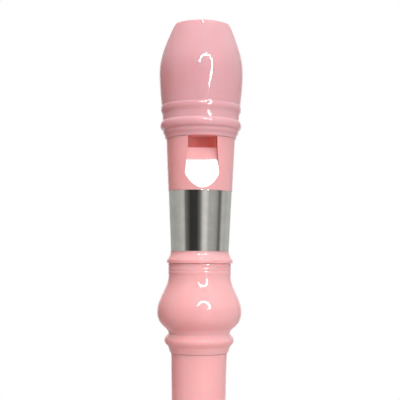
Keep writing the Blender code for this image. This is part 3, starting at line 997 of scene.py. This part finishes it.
class ShapeTree:
    """A tree of geometry nodes with named inputs that works on a blank mesh."""

    name = ""
    inputs: dict[str, str] = {}             # the kind of each input, by name

    def __init__(self) -> None:
        """Build the tree, ending in real geometry with its finish set."""
        self.tree = bpy.data.node_groups.new(self.name, "GeometryNodeTree")
        sockets = self.tree.interface
        kinds = {"Geometry": "Geometry", **self.inputs, "Finish": "Material"}
        for name, kind in kinds.items():
            sockets.new_socket(name, in_out="INPUT", socket_type=f"NodeSocket{kind}")
        sockets.new_socket("Geometry", in_out="OUTPUT", socket_type="NodeSocketGeometry")
        desk = Desk(self.tree)
        sizes = desk.add("NodeGroupInput").outputs
        solid = desk.add("GeometryNodeRealizeInstances", {"Geometry": self.shape(desk, sizes)}).outputs[0]
        finished = desk.add("GeometryNodeSetMaterial", {"Geometry": solid, "Material": sizes["Finish"]})
        desk.add("NodeGroupOutput", {"Geometry": finished.outputs[0]})

    def shape(self, desk: Desk, sizes: bpy.types.NodeOutputs) -> Socket:
        """Build the nodes that do the work.

        Args:
            desk: The tree.
            sizes: The outputs of its input node.

        Returns:
            The worked geometry.
        """
        raise NotImplementedError

    def run(self, blank: bpy.types.Mesh, finish: Finish, values: dict) -> bpy.types.Mesh:
        """Run the tree on a blank.

        Args:
            blank: The mesh that it works on.
            finish: The finish that it sets.
            values: What each other named input gets.

        Returns:
            The plain mesh that the tree makes.
        """
        piece = put("blank", blank)
        nodes = piece.modifiers.new(self.name, "NODES")
        nodes.node_group = self.tree
        for item in self.tree.interface.items_tree:
            if item.in_out == "INPUT" and item.name != "Geometry":
                nodes[item.identifier] = finish.material() if item.name == "Finish" else values[item.name]
        made = plain_mesh(piece)
        bpy.data.objects.remove(piece)
        return made


class TaperTree(ShapeTree):
    """Draws a straight barrel in or out to the radius that a rule gives at each height."""

    name = "Taper by rule"
    inputs = {"Low": "Float", "Length": "Float", "Top Radius": "Float", "End Radius": "Float",
              "Taper Power": "Float"}

    def shape(self, desk: Desk, sizes: bpy.types.NodeOutputs) -> Socket:
        """Move the marked points of the barrel's wall.

        Args:
            desk: The tree.
            sizes: The outputs of its input node.

        Returns:
            The tapered tube.
        """
        place = desk.add("ShaderNodeSeparateXYZ", {0: desk.add("GeometryNodeInputPosition").outputs[0]})
        share = desk.math("DIVIDE", desk.math("SUBTRACT", place.outputs["Z"], sizes["Low"]),
                          sizes["Length"])
        share = desk.add("ShaderNodeClamp", {"Value": share}).outputs[0]
        spread = desk.math("SUBTRACT", sizes["Top Radius"], sizes["End Radius"])
        radius = desk.math("MULTIPLY_ADD", desk.math("POWER", share, sizes["Taper Power"]), spread,
                           sizes["End Radius"])
        scale = desk.math("DIVIDE", radius, sizes["End Radius"])
        moved = desk.add("ShaderNodeCombineXYZ", {"X": desk.math("MULTIPLY", place.outputs["X"], scale),
                                                  "Y": desk.math("MULTIPLY", place.outputs["Y"], scale),
                                                  "Z": place.outputs["Z"]})
        barrel = desk.add("GeometryNodeInputNamedAttribute", {"Name": "barrel"}, data_type="BOOLEAN")
        return desk.add("GeometryNodeSetPosition", {"Geometry": sizes["Geometry"],
                                                    "Selection": barrel.outputs["Attribute"],
                                                    "Position": moved.outputs[0]}).outputs[0]


class DrillTree(ShapeTree):
    """Cuts a round hole at each point of a guide, by the point's own diameter and turn."""

    name = "Finger holes"
    inputs = {"Holes": "Object", "Drill Length": "Float", "Drill Facets": "Int"}

    def shape(self, desk: Desk, sizes: bpy.types.NodeOutputs) -> Socket:
        """Put a drill at each point and cut them all out.

        Args:
            desk: The tree.
            sizes: The outputs of its input node.

        Returns:
            The drilled tube.
        """
        points = desk.add("GeometryNodeObjectInfo", {"Object": sizes["Holes"]}).outputs["Geometry"]
        # a drill 1 m across, which each point scales to its own diameter
        bit = desk.add("GeometryNodeMeshCylinder", {"Vertices": sizes["Drill Facets"], "Radius": 0.5,
                                                    "Depth": sizes["Drill Length"]}).outputs["Mesh"]
        width, turn = (desk.add("GeometryNodeInputNamedAttribute", {"Name": name},
                                data_type="FLOAT").outputs["Attribute"] for name in ("diameter", "turn"))
        way = desk.add("FunctionNodeEulerToRotation",
                       {0: desk.add("ShaderNodeCombineXYZ", {"X": math.pi / 2, "Z": turn}).outputs[0]})
        size = desk.add("ShaderNodeCombineXYZ", {"X": width, "Y": width, "Z": 1.0})
        drills = desk.add("GeometryNodeInstanceOnPoints", {"Points": points, "Instance": bit,
                                                           "Rotation": way.outputs[0],
                                                           "Scale": size.outputs[0]}).outputs[0]
        drills = desk.add("GeometryNodeRealizeInstances", {"Geometry": drills}).outputs[0]
        return desk.add("GeometryNodeMeshBoolean", {"Mesh 1": sizes["Geometry"], "Mesh 2": drills},
                        operation="DIFFERENCE", solver="EXACT").outputs["Mesh"]


@dataclass(frozen=True)
class Hole:
    """A finger hole: its height above the foot's end, its diameter, its offset sideways and its turn."""

    height: float
    diameter: float
    offset: float = 0.0
    turn: float = 0.0

    def centre(self, reach: float) -> Vector:
        """Middle of a drill of twice the given reach that starts on the axis."""
        return Vector((self.offset * math.cos(self.turn) + reach * math.sin(self.turn),
                       self.offset * math.sin(self.turn) - reach * math.cos(self.turn), self.height))


def double_hole(height: float, turn: float) -> list[Hole]:
    """The large and the small hole of a pair."""
    return [Hole(height, *size, turn) for size in (LARGE_OF_PAIR, SMALL_OF_PAIR)]


@dataclass
class DrilledJoint(Assembly):
    """A joint of the instrument that has finger holes."""

    drills: DrillTree
    drill_length: float = 30.0 * MM
    drill_facets: int = 64
    hole_edge: float = 0.14 * MM

    def drilled(self, blank: bpy.types.Mesh, holes: list[Hole], finish: Finish) -> bpy.types.Mesh:
        """Drill a blank's finger holes.

        Args:
            blank: The turned blank.
            holes: Its finger holes.
            finish: Its finish.

        Returns:
            The drilled mesh with eased edges.
        """
        guide = bpy.data.meshes.new("holes")
        guide.from_pydata([hole.centre(self.drill_length / 2) for hole in holes], [], [])
        widths = guide.attributes.new("diameter", "FLOAT", "POINT")
        turns = guide.attributes.new("turn", "FLOAT", "POINT")
        for index, hole in enumerate(holes):
            widths.data[index].value = hole.diameter
            turns.data[index].value = hole.turn
        holes_object = put("holes", guide)
        mesh = self.drills.run(blank, finish, {"Holes": holes_object, "Drill Length": self.drill_length,
                                               "Drill Facets": self.drill_facets})
        bpy.data.objects.remove(holes_object)
        ease_edges(mesh, self.hole_edge)
        return mesh


@dataclass(kw_only=True)
class MiddleJoint(DrilledJoint):
    """The tube with most of the finger holes, a tenon at each end and a seal ring on each tenon."""

    taper: TaperTree
    top_radius: float = 10.3 * MM
    end_radius: float = 8.95 * MM
    taper_power: float = 2.7
    bore: Point = (6.6 * MM, 5.1 * MM)      # at the upper and at the lower end
    upper_tenon: float = 8.6 * MM
    lower_tenon: float = 7.6 * MM
    groove_depth: float = 1.0 * MM
    groove_width: float = 2.0 * MM
    chamfer: float = 0.6 * MM
    seal_play: float = 0.1 * MM
    edge: float = 0.2 * MM
    wall_reach: float = 0.3 * MM            # points this near the barrel's radius are on its wall
    # each hole's height above the foot's mouth, and its diameter
    single_holes: tuple[Point, ...] = ((115.0 * MM, 5.4 * MM), (94.0 * MM, 6.0 * MM), (75.0 * MM, 5.2 * MM),
                                       (49.0 * MM, 5.6 * MM), (31.0 * MM, 5.2 * MM))
    thumb_hole: Point = (120.0 * MM, 5.4 * MM)
    double_height: float = 11.0 * MM

    def build(self) -> None:
        """Build and dress the tube and both seal rings."""
        head_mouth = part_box("head_socket")[0].z
        foot_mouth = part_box("foot_joint")[1].z
        barrel = (foot_mouth + HAIRLINE, head_mouth - HAIRLINE)
        holes = [Hole(foot_mouth + height, width) for height, width in self.single_holes]
        holes.append(Hole(foot_mouth + self.thumb_hole[0], self.thumb_hole[1], turn=math.pi))
        holes += double_hole(foot_mouth + self.double_height, 0.0)
        sizes = {"Low": barrel[0], "Length": barrel[1] - barrel[0], "Top Radius": self.top_radius,
                 "End Radius": self.end_radius, "Taper Power": self.taper_power}
        tapered = self.taper.run(self.straight(barrel), MIDDLE, sizes)
        self.dress("middle_tube", self.drilled(tapered, holes, MIDDLE), "middle_joint", Body.MIDDLE,
                   Slot.SHELL, MIDDLE)
        for name, node, body, tenon in (
                ("upper_ring", "upper_seal", Body.UPPER_SEAL, self.upper_tenon),
                ("lower_ring", "lower_seal", Body.LOWER_SEAL, self.lower_tenon)):
            self.dress(name, turned(name, self.seal_outline(node, tenon)), node, body, Slot.RUBBER, RUBBER)

    def straight(self, barrel: Point) -> bpy.types.Mesh:
        """Build the tube with a straight barrel, whose wall is marked for the taper.

        Args:
            barrel: The heights of the barrel's ends.

        Returns:
            The marked mesh.
        """
        mesh = turned("middle", self.outline(barrel))
        marks = mesh.attributes.new("barrel", "BOOLEAN", "POINT")
        for index, vertex in enumerate(mesh.vertices):
            inside = barrel[0] <= vertex.co.z <= barrel[1]
            marks.data[index].value = inside and vertex.co.xy.length > self.end_radius - self.wall_reach
        return mesh

    def outline(self, barrel: Point) -> list[Point]:
        """Draw the tube's outline with a straight barrel.

        Args:
            barrel: The heights of the barrel's ends.

        Returns:
            The outline's points.
        """
        low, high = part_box("middle_joint")
        upper = sum(end.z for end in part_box("upper_seal")) / 2
        lower = sum(end.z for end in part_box("lower_seal")) / 2
        half = self.groove_width / 2
        bottom, top = barrel
        outline = Outline([(self.bore[0], high.z), (self.upper_tenon - self.chamfer, high.z),
                           (self.upper_tenon, high.z - self.chamfer)])
        outline.to((self.upper_tenon, upper + half), (self.upper_tenon - self.groove_depth, upper + half),
                   (self.upper_tenon - self.groove_depth, upper - half), (self.upper_tenon, upper - half),
                   (self.upper_tenon, top), (self.end_radius, top), (self.end_radius, bottom),
                   (self.lower_tenon, bottom), (self.lower_tenon, lower + half),
                   (self.lower_tenon - self.groove_depth, lower + half),
                   (self.lower_tenon - self.groove_depth, lower - half), (self.lower_tenon, lower - half),
                   (self.lower_tenon, low.z + self.chamfer), (self.lower_tenon - self.chamfer, low.z),
                   (self.bore[1], low.z))
        return outline.rounded(self.edge)

    def seal_outline(self, node: str, tenon: float) -> list[Point]:
        """Draw a seal ring's outline, nearly round and flat against its groove.

        Args:
            node: The ring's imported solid.
            tenon: Radius of the tenon that it is on.

        Returns:
            The outline's points.
        """
        low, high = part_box(node)
        inner = tenon - self.groove_depth + self.seal_play
        corners = Outline([(inner, high.z), (high.x, high.z), (high.x, low.z), (inner, low.z)])
        return corners.rounded((high.z - low.z) / 4)


@dataclass
class FootJoint(DrilledJoint):
    """The foot with its socket, its waist, its bell and the last pair of holes."""

    lip_radius: float = 10.6 * MM
    lip_length: float = 1.6 * MM
    bead_radius: float = 11.8 * MM
    bead_width: float = 4.0 * MM
    neck_radius: float = 10.3 * MM
    bulge: Point = (12.7 * MM, 53.0 * MM)   # radius, and height above the foot's end
    waist: Point = (8.6 * MM, 26.0 * MM)
    bell: Point = (11.6 * MM, 7.0 * MM)
    bell_bead_radius: float = 12.5 * MM
    bell_bead_width: float = 4.2 * MM
    end_radius: float = 10.9 * MM
    end_round: float = 0.6 * MM
    socket_bore: float = 7.9 * MM
    tenon_play: float = 0.3 * MM            # between the middle's tenon and the socket's floor
    bore_top: float = 5.1 * MM
    choke: Point = (4.5 * MM, 14.0 * MM)
    bore_exit: float = 5.25 * MM
    hole_height: float = 44.5 * MM
    hole_turn: float = math.radians(-9)
    edge: float = 0.25 * MM

    def build(self) -> None:
        """Build and dress the foot."""
        holes = double_hole(self.hole_height, self.hole_turn)
        mesh = self.drilled(turned("foot", self.outline()), holes, FOOT)
        self.dress("foot_moulding", mesh, "foot_joint", Body.FOOT, Slot.SHELL, FOOT)

    def outline(self) -> list[Point]:
        """Draw the foot's outline, down its outside and up its bore.

        Returns:
            The outline's points.
        """
        low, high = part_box("foot_joint")
        socket_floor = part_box("middle_joint")[0].z - self.tenon_play
        bead_centre = high.z - self.lip_length - self.bead_width / 2
        bell_bead = self.bell[1] - self.bell_bead_width / 2
        outline = Outline([(self.lip_radius - self.end_round, high.z)])
        outline.to((self.lip_radius, high.z - self.end_round), (self.lip_radius, high.z - self.lip_length))
        outline.bead(self.neck_radius, self.bead_radius, bead_centre, self.bead_width)
        outline.arrive(*self.bulge)
        outline.ogee(*self.waist)
        outline.depart(*self.bell)
        outline.bead(self.bell[0], self.bell_bead_radius, bell_bead, self.bell_bead_width)
        outline.to((self.end_radius, low.z + self.end_round), (self.end_radius - self.end_round, low.z),
                   (self.bore_exit, low.z), self.choke, (self.bore_top, socket_floor),
                   (self.socket_bore, socket_floor), (self.socket_bore, high.z))
        return outline.rounded(self.edge)


@dataclass(frozen=True)
class Lamp:
    """A square soft lamp that stands at a bearing from the instrument and shines at it."""

    name: str
    bearing: float                          # degrees to the right of the camera's side
    elevation: float                        # degrees
    distance: float
    size: float
    power: float
    colour: Colour = (1.0, 1.0, 1.0)

    def place(self, target: Vector) -> None:
        """Put the lamp in the studio.

        Args:
            target: The point that it is aimed at.
        """
        light = bpy.data.lights.new(self.name, "AREA")
        light.size = self.size
        light.energy = self.power
        light.color = self.colour
        lamp = put(self.name, light)
        lamp.location = target + self.distance * heading(self.bearing, self.elevation)
        lamp.rotation_euler = (target - lamp.location).to_track_quat("-Z", "Y").to_euler()
        lamp.visible_glossy = False
        lamp.visible_camera = False


def heading(bearing: float, elevation: float) -> Vector:
    """Unit vector towards a bearing to the right of the camera's side, and an elevation, in degrees."""
    turn, lift = math.radians(bearing + VIEW_BEARING), math.radians(elevation)
    return Vector((math.cos(lift) * math.sin(turn), -math.cos(lift) * math.cos(turn), math.sin(lift)))


def glowing(name: str, points: list[Vector], faces: list[tuple], levels: list[float]) -> None:
    """Put up a sheet that only reflections see.

    Args:
        name: The sheet's name.
        points: Its points.
        faces: Its faces.
        levels: How brightly it glows at each point, where 1 is white.
    """
    mesh = bpy.data.meshes.new(name)
    mesh.from_pydata(points, [], faces)
    mesh.attributes.new("level", "FLOAT", "POINT").data.foreach_set("value", levels)
    material = bpy.data.materials.new(name)
    material.use_nodes = True
    material.node_tree.nodes.clear()
    desk = Desk(material.node_tree)
    level = desk.add("ShaderNodeAttribute", attribute_name="level").outputs["Fac"]
    glow = desk.add("ShaderNodeEmission", {"Strength": level}).outputs[0]
    desk.add("ShaderNodeOutputMaterial", {"Surface": glow})
    mesh.materials.append(material)
    sheet = put(name, mesh)
    for kind in ("camera", "diffuse", "transmission", "volume_scatter", "shadow"):
        setattr(sheet, f"visible_{kind}", False)


@dataclass(frozen=True)
class Surround:
    """A round wall of cards under a soft sky. Each stop is (bearing in degrees, level)."""

    stops: tuple[Point, ...]
    distance: float = 6.2
    low: float = -30.0
    high: float = 60.0
    pitch: int = 2                          # degrees from one upright row of points to the next
    rows: int = 12                          # from its low to its high edge
    sky: float = 0.85
    horizon: Point = (15.0, 37.5)           # the cards fade into the sky between these elevations

    def level(self, bearing: float, lift: float) -> float:
        """Find how bright the wall is at one place.

        Args:
            bearing: The place's bearing, in degrees.
            lift: Its elevation, in degrees.

        Returns:
            The level, where 1 is white.
        """
        card = self.stops[-1][1]
        for (start, first), (end, second) in zip(self.stops, self.stops[1:]):
            if bearing <= end:
                card = first + (second - first) * (bearing - start) / (end - start)
                break
        low, high = self.horizon
        return card + (self.sky - card) * min(max((lift - low) / (high - low), 0.0), 1.0)

    def place(self, centre: Vector) -> None:
        """Put the wall up.

        Args:
            centre: What it goes round.
        """
        bearings = list(range(round(self.stops[0][0]), round(self.stops[-1][0]) + 1, self.pitch))
        lifts = [self.low + (self.high - self.low) * step / self.rows for step in range(self.rows + 1)]
        points = [centre + self.distance * heading(bearing, lift) for bearing in bearings for lift in lifts]
        row = len(lifts)
        faces = [(i * row + j, i * row + j + 1, (i + 1) * row + j + 1, (i + 1) * row + j)
                 for i in range(len(bearings) - 1) for j in range(row - 1)]
        levels = [self.level(bearing, lift) for bearing in bearings for lift in lifts]
        glowing("surround", points, faces, levels)


@dataclass(frozen=True)
class Strip:
    """A bent strip light. Each station is (bearing, elevation, half width), all in degrees."""

    path: tuple[tuple[float, float, float], ...]
    level: float
    distance: float = 0.45

    def place(self, centre: Vector) -> None:
        """Put the strip up.

        Args:
            centre: What it bends round.
        """
        points = [centre + self.distance * heading(*corner)
                  for index in range(len(self.path)) for corner in self.edges(index)]
        faces = [(2 * i, 2 * i + 1, 2 * i + 3, 2 * i + 2) for i in range(len(self.path) - 1)]
        glowing("strip_light", points, faces, [self.level] * len(points))

    def edges(self, index: int) -> tuple[Point, Point]:
        """Find the strip's two edges at one station.

        Args:
            index: Which station.

        Returns:
            The bearing and elevation of each edge, in degrees.
        """
        bearing, elevation, half = self.path[index]
        before = self.path[max(index - 1, 0)]
        after = self.path[min(index + 1, len(self.path) - 1)]
        along = Vector((after[0] - before[0], after[1] - before[1])).normalized()
        across = Vector((along.y, -along.x)) * half
        return (bearing - across.x, elevation - across.y), (bearing + across.x, elevation + across.y)


@dataclass
class Studio:
    """The pale floor, the soft lamps and what the gloss reflects."""

    centre: Vector = field(default_factory=lambda: Vector((0.0, 0.0, 0.26)))
    strip_centre: Vector = field(default_factory=lambda: Vector((0.0, 0.0, 0.29)))
    floor_radius: float = 0.85
    floor_facets: int = 96
    floor_roughness: float = 0.9
    floor_fade: Point = (0.18, 0.5)         # where the floor starts to go white, and is white
    floor_colour: Colour = (0.85, 0.90, 0.905)
    floor_mirrored: Colour = (0.62, 0.60, 0.59)     # how the gloss shows the floor
    floor_bounce: Colour = (0.42, 0.25, 0.24)       # what the floor sends back to the instrument
    ambient: float = 0.12
    ambient_colour: Colour = (1.0, 0.58, 0.55)
    glow_power: float = 0.0010              # of the faint lamp in the bore
    glow_colour: Colour = (1.0, 0.5, 0.4)
    glow_depth: float = 8.0 * MM            # below the cap's rim
    glow_radius: float = 3.0 * MM
    lamps: tuple[Lamp, ...] = (
        Lamp("front_lamp", 27.0, 3.0, 1.3, 0.9, 9.8),
        Lamp("upper_lamp", 0.0, 38.0, 1.3, 1.1, 8.8),
        Lamp("top_lamp", 0.0, 75.0, 1.3, 0.7, 6.0),
        Lamp("left_lamp", -80.0, 45.0, 1.3, 0.7, 3.2, (1.0, 0.33, 0.28)),
        Lamp("left_back_lamp", -155.0, 40.0, 1.3, 0.9, 9.0, (1.0, 0.8, 0.78)),
        Lamp("right_back_lamp", 145.0, 35.0, 1.3, 0.9, 9.0),
    )
    surround: Surround = Surround((
        (-150.0, 0.40), (-107.0, 0.38), (-85.0, 0.43), (-66.0, 0.52), (-60.0, 0.42), (-55.0, 0.17),
        (-45.0, 0.10), (-36.0, 0.035), (-12.0, 0.04), (-5.0, 0.10), (1.0, 0.18), (6.0, 0.40),
        (11.0, 0.60), (19.0, 0.72), (26.0, 0.60), (33.0, 0.42), (45.0, 0.42), (58.0, 0.36),
        (66.0, 0.28), (71.0, 0.15), (79.0, 0.15), (84.0, 0.38), (92.0, 0.50), (105.0, 0.44),
        (120.0, 0.50), (150.0, 0.47)))
    strip: Strip = Strip((
        (-6.0, 19.5, 0.8), (-4.5, 23.5, 1.2), (-1.0, 27.9, 1.5), (4.0, 31.2, 1.8), (10.0, 32.5, 1.9),
        (16.0, 32.3, 1.8), (22.0, 30.3, 1.8), (27.0, 26.2, 1.9), (29.7, 21.0, 2.1), (29.2, 14.5, 2.1),
        (26.5, 9.0, 2.0), (22.8, 5.0, 1.8), (20.5, 3.2, 1.1)), 45.0)
    tip_card: Strip = Strip(((5.0, 60.0, 1.1), (14.0, 60.0, 1.1)), 40.0)

    def build(self) -> None:
        """Set up the studio."""
        self.floor()
        self.world()
        for lamp in self.lamps:
            lamp.place(self.centre)
        self.surround.place(self.centre)
        self.strip.place(self.strip_centre)
        self.tip_card.place(self.strip_centre)
        self.inner_glow()

    def inner_glow(self) -> None:
        """Stand a faint lamp in the bore, for the light that the translucent walls let in."""
        light = bpy.data.lights.new("inner_glow", "POINT")
        light.shadow_soft_size = self.glow_radius
        light.energy = self.glow_power
        light.color = self.glow_colour
        lamp = put("inner_glow", light)
        lamp.location = (0, 0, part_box("mouthpiece_cap")[0].z - self.glow_depth)
        lamp.visible_glossy = False
        lamp.visible_camera = False

    def floor(self) -> None:
        """Lay a pale round floor under the instrument, which goes white far from it."""
        shape = bmesh.new()
        bmesh.ops.create_circle(shape, cap_ends=True, segments=self.floor_facets, radius=self.floor_radius)
        mesh = bpy.data.meshes.new("floor")
        shape.to_mesh(mesh)
        shape.free()
        material = bpy.data.materials.new("pale_floor")
        material.use_nodes = True
        desk = Desk(material.node_tree)
        rays = desk.add("ShaderNodeLightPath").outputs
        half = 0.5                          # the place of gloss between the camera, 0, and diffuse, 1
        seen = desk.math("MULTIPLY_ADD", rays["Is Glossy Ray"], half, rays["Is Diffuse Ray"])
        tone = desk.add("ShaderNodeValToRGB", {"Fac": seen})
        tone.color_ramp.elements.new(half)
        colours = (self.floor_colour, self.floor_mirrored, self.floor_bounce)
        for element, colour in zip(tone.color_ramp.elements, colours):
            element.color = (*colour, 1)
        shader = material.node_tree.nodes["Principled BSDF"].inputs
        desk.tree.links.new(tone.outputs["Color"], shader["Base Color"])
        shader["Roughness"].default_value = self.floor_roughness
        place = desk.add("ShaderNodeTexCoord").outputs["Object"]
        far = desk.add("ShaderNodeVectorMath", {0: place}, operation="LENGTH").outputs["Value"]
        faded = desk.add("ShaderNodeMapRange", {"Value": far, "From Min": self.floor_fade[0],
                                                "From Max": self.floor_fade[1]},
                         interpolation_type="SMOOTHSTEP").outputs[0]
        desk.tree.links.new(desk.math("MULTIPLY", faded, rays["Is Camera Ray"]), shader["Emission Strength"])
        mesh.materials.append(material)
        put("floor", mesh)

    def world(self) -> None:
        """Light diffuse surfaces softly and show white to the camera, to gloss and through glass."""
        world = bpy.data.worlds.new("studio")
        world.use_nodes = True
        world.node_tree.nodes.clear()
        desk = Desk(world.node_tree)
        rays = desk.add("ShaderNodeLightPath").outputs
        seen = desk.math("MAXIMUM", rays["Is Camera Ray"], rays["Is Glossy Ray"])
        seen = desk.math("MAXIMUM", seen, rays["Is Transmission Ray"])
        soft = desk.add("ShaderNodeBackground", {"Color": (*self.ambient_colour, 1),
                                                 "Strength": self.ambient})
        white = desk.add("ShaderNodeBackground", {"Color": WHITE, "Strength": 1.0})
        mixed = desk.add("ShaderNodeMixShader", {0: seen, 1: soft.outputs[0], 2: white.outputs[0]})
        desk.add("ShaderNodeOutputWorld", {"Surface": mixed.outputs[0]})
        bpy.context.scene.world = world


@dataclass(frozen=True)
class Viewpoint:
    """The camera: level with the head tube's flange, tipped up, and rolled so that the tip leans right."""

    distance: float = 325.6 * MM
    height: float = 237.4 * MM
    across: float = -0.08 * MM
    pitch: float = math.radians(4.09)
    roll: float = math.radians(0.46)
    lens: float = 79.0
    sensor: float = 36.0
    near: float = 10.0 * MM                 # nothing nearer is drawn

    def place(self) -> None:
        """Put up the camera and look through it."""
        lens = bpy.data.cameras.new("view")
        lens.lens = self.lens
        lens.sensor_width = self.sensor
        lens.clip_start = self.near
        camera = put("view", lens)
        aim = Euler((math.pi / 2 + self.pitch, 0, 0)).to_matrix().to_4x4()
        stand = Matrix.Translation((self.across, -self.distance, self.height))
        camera.matrix_world = (Matrix.Rotation(math.radians(VIEW_BEARING), 4, "Z") @ stand @ aim
                               @ Matrix.Rotation(self.roll, 4, "Z"))
        bpy.context.scene.camera = camera


def corners(box: tuple[Vector, Vector]) -> list[list[float]]:
    """A box as plain lists of numbers."""
    return [list(corner) for corner in box]


def main() -> None:
    """Build the instrument and the studio."""
    logging.basicConfig(level=logging.INFO, format="%(message)s")
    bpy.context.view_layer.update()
    bpy.context.scene.view_settings.view_transform = "Standard"
    Viewpoint().place()
    Studio().build()
    drills = DrillTree()
    for assembly in (Mouthpiece(), HeadTube(), HeadSocket(), MiddleJoint(drills=drills, taper=TaperTree()),
                     FootJoint(drills)):
        log.info("building %s", type(assembly).__name__)
        assembly.build()


if __name__ == "__main__":
    main()
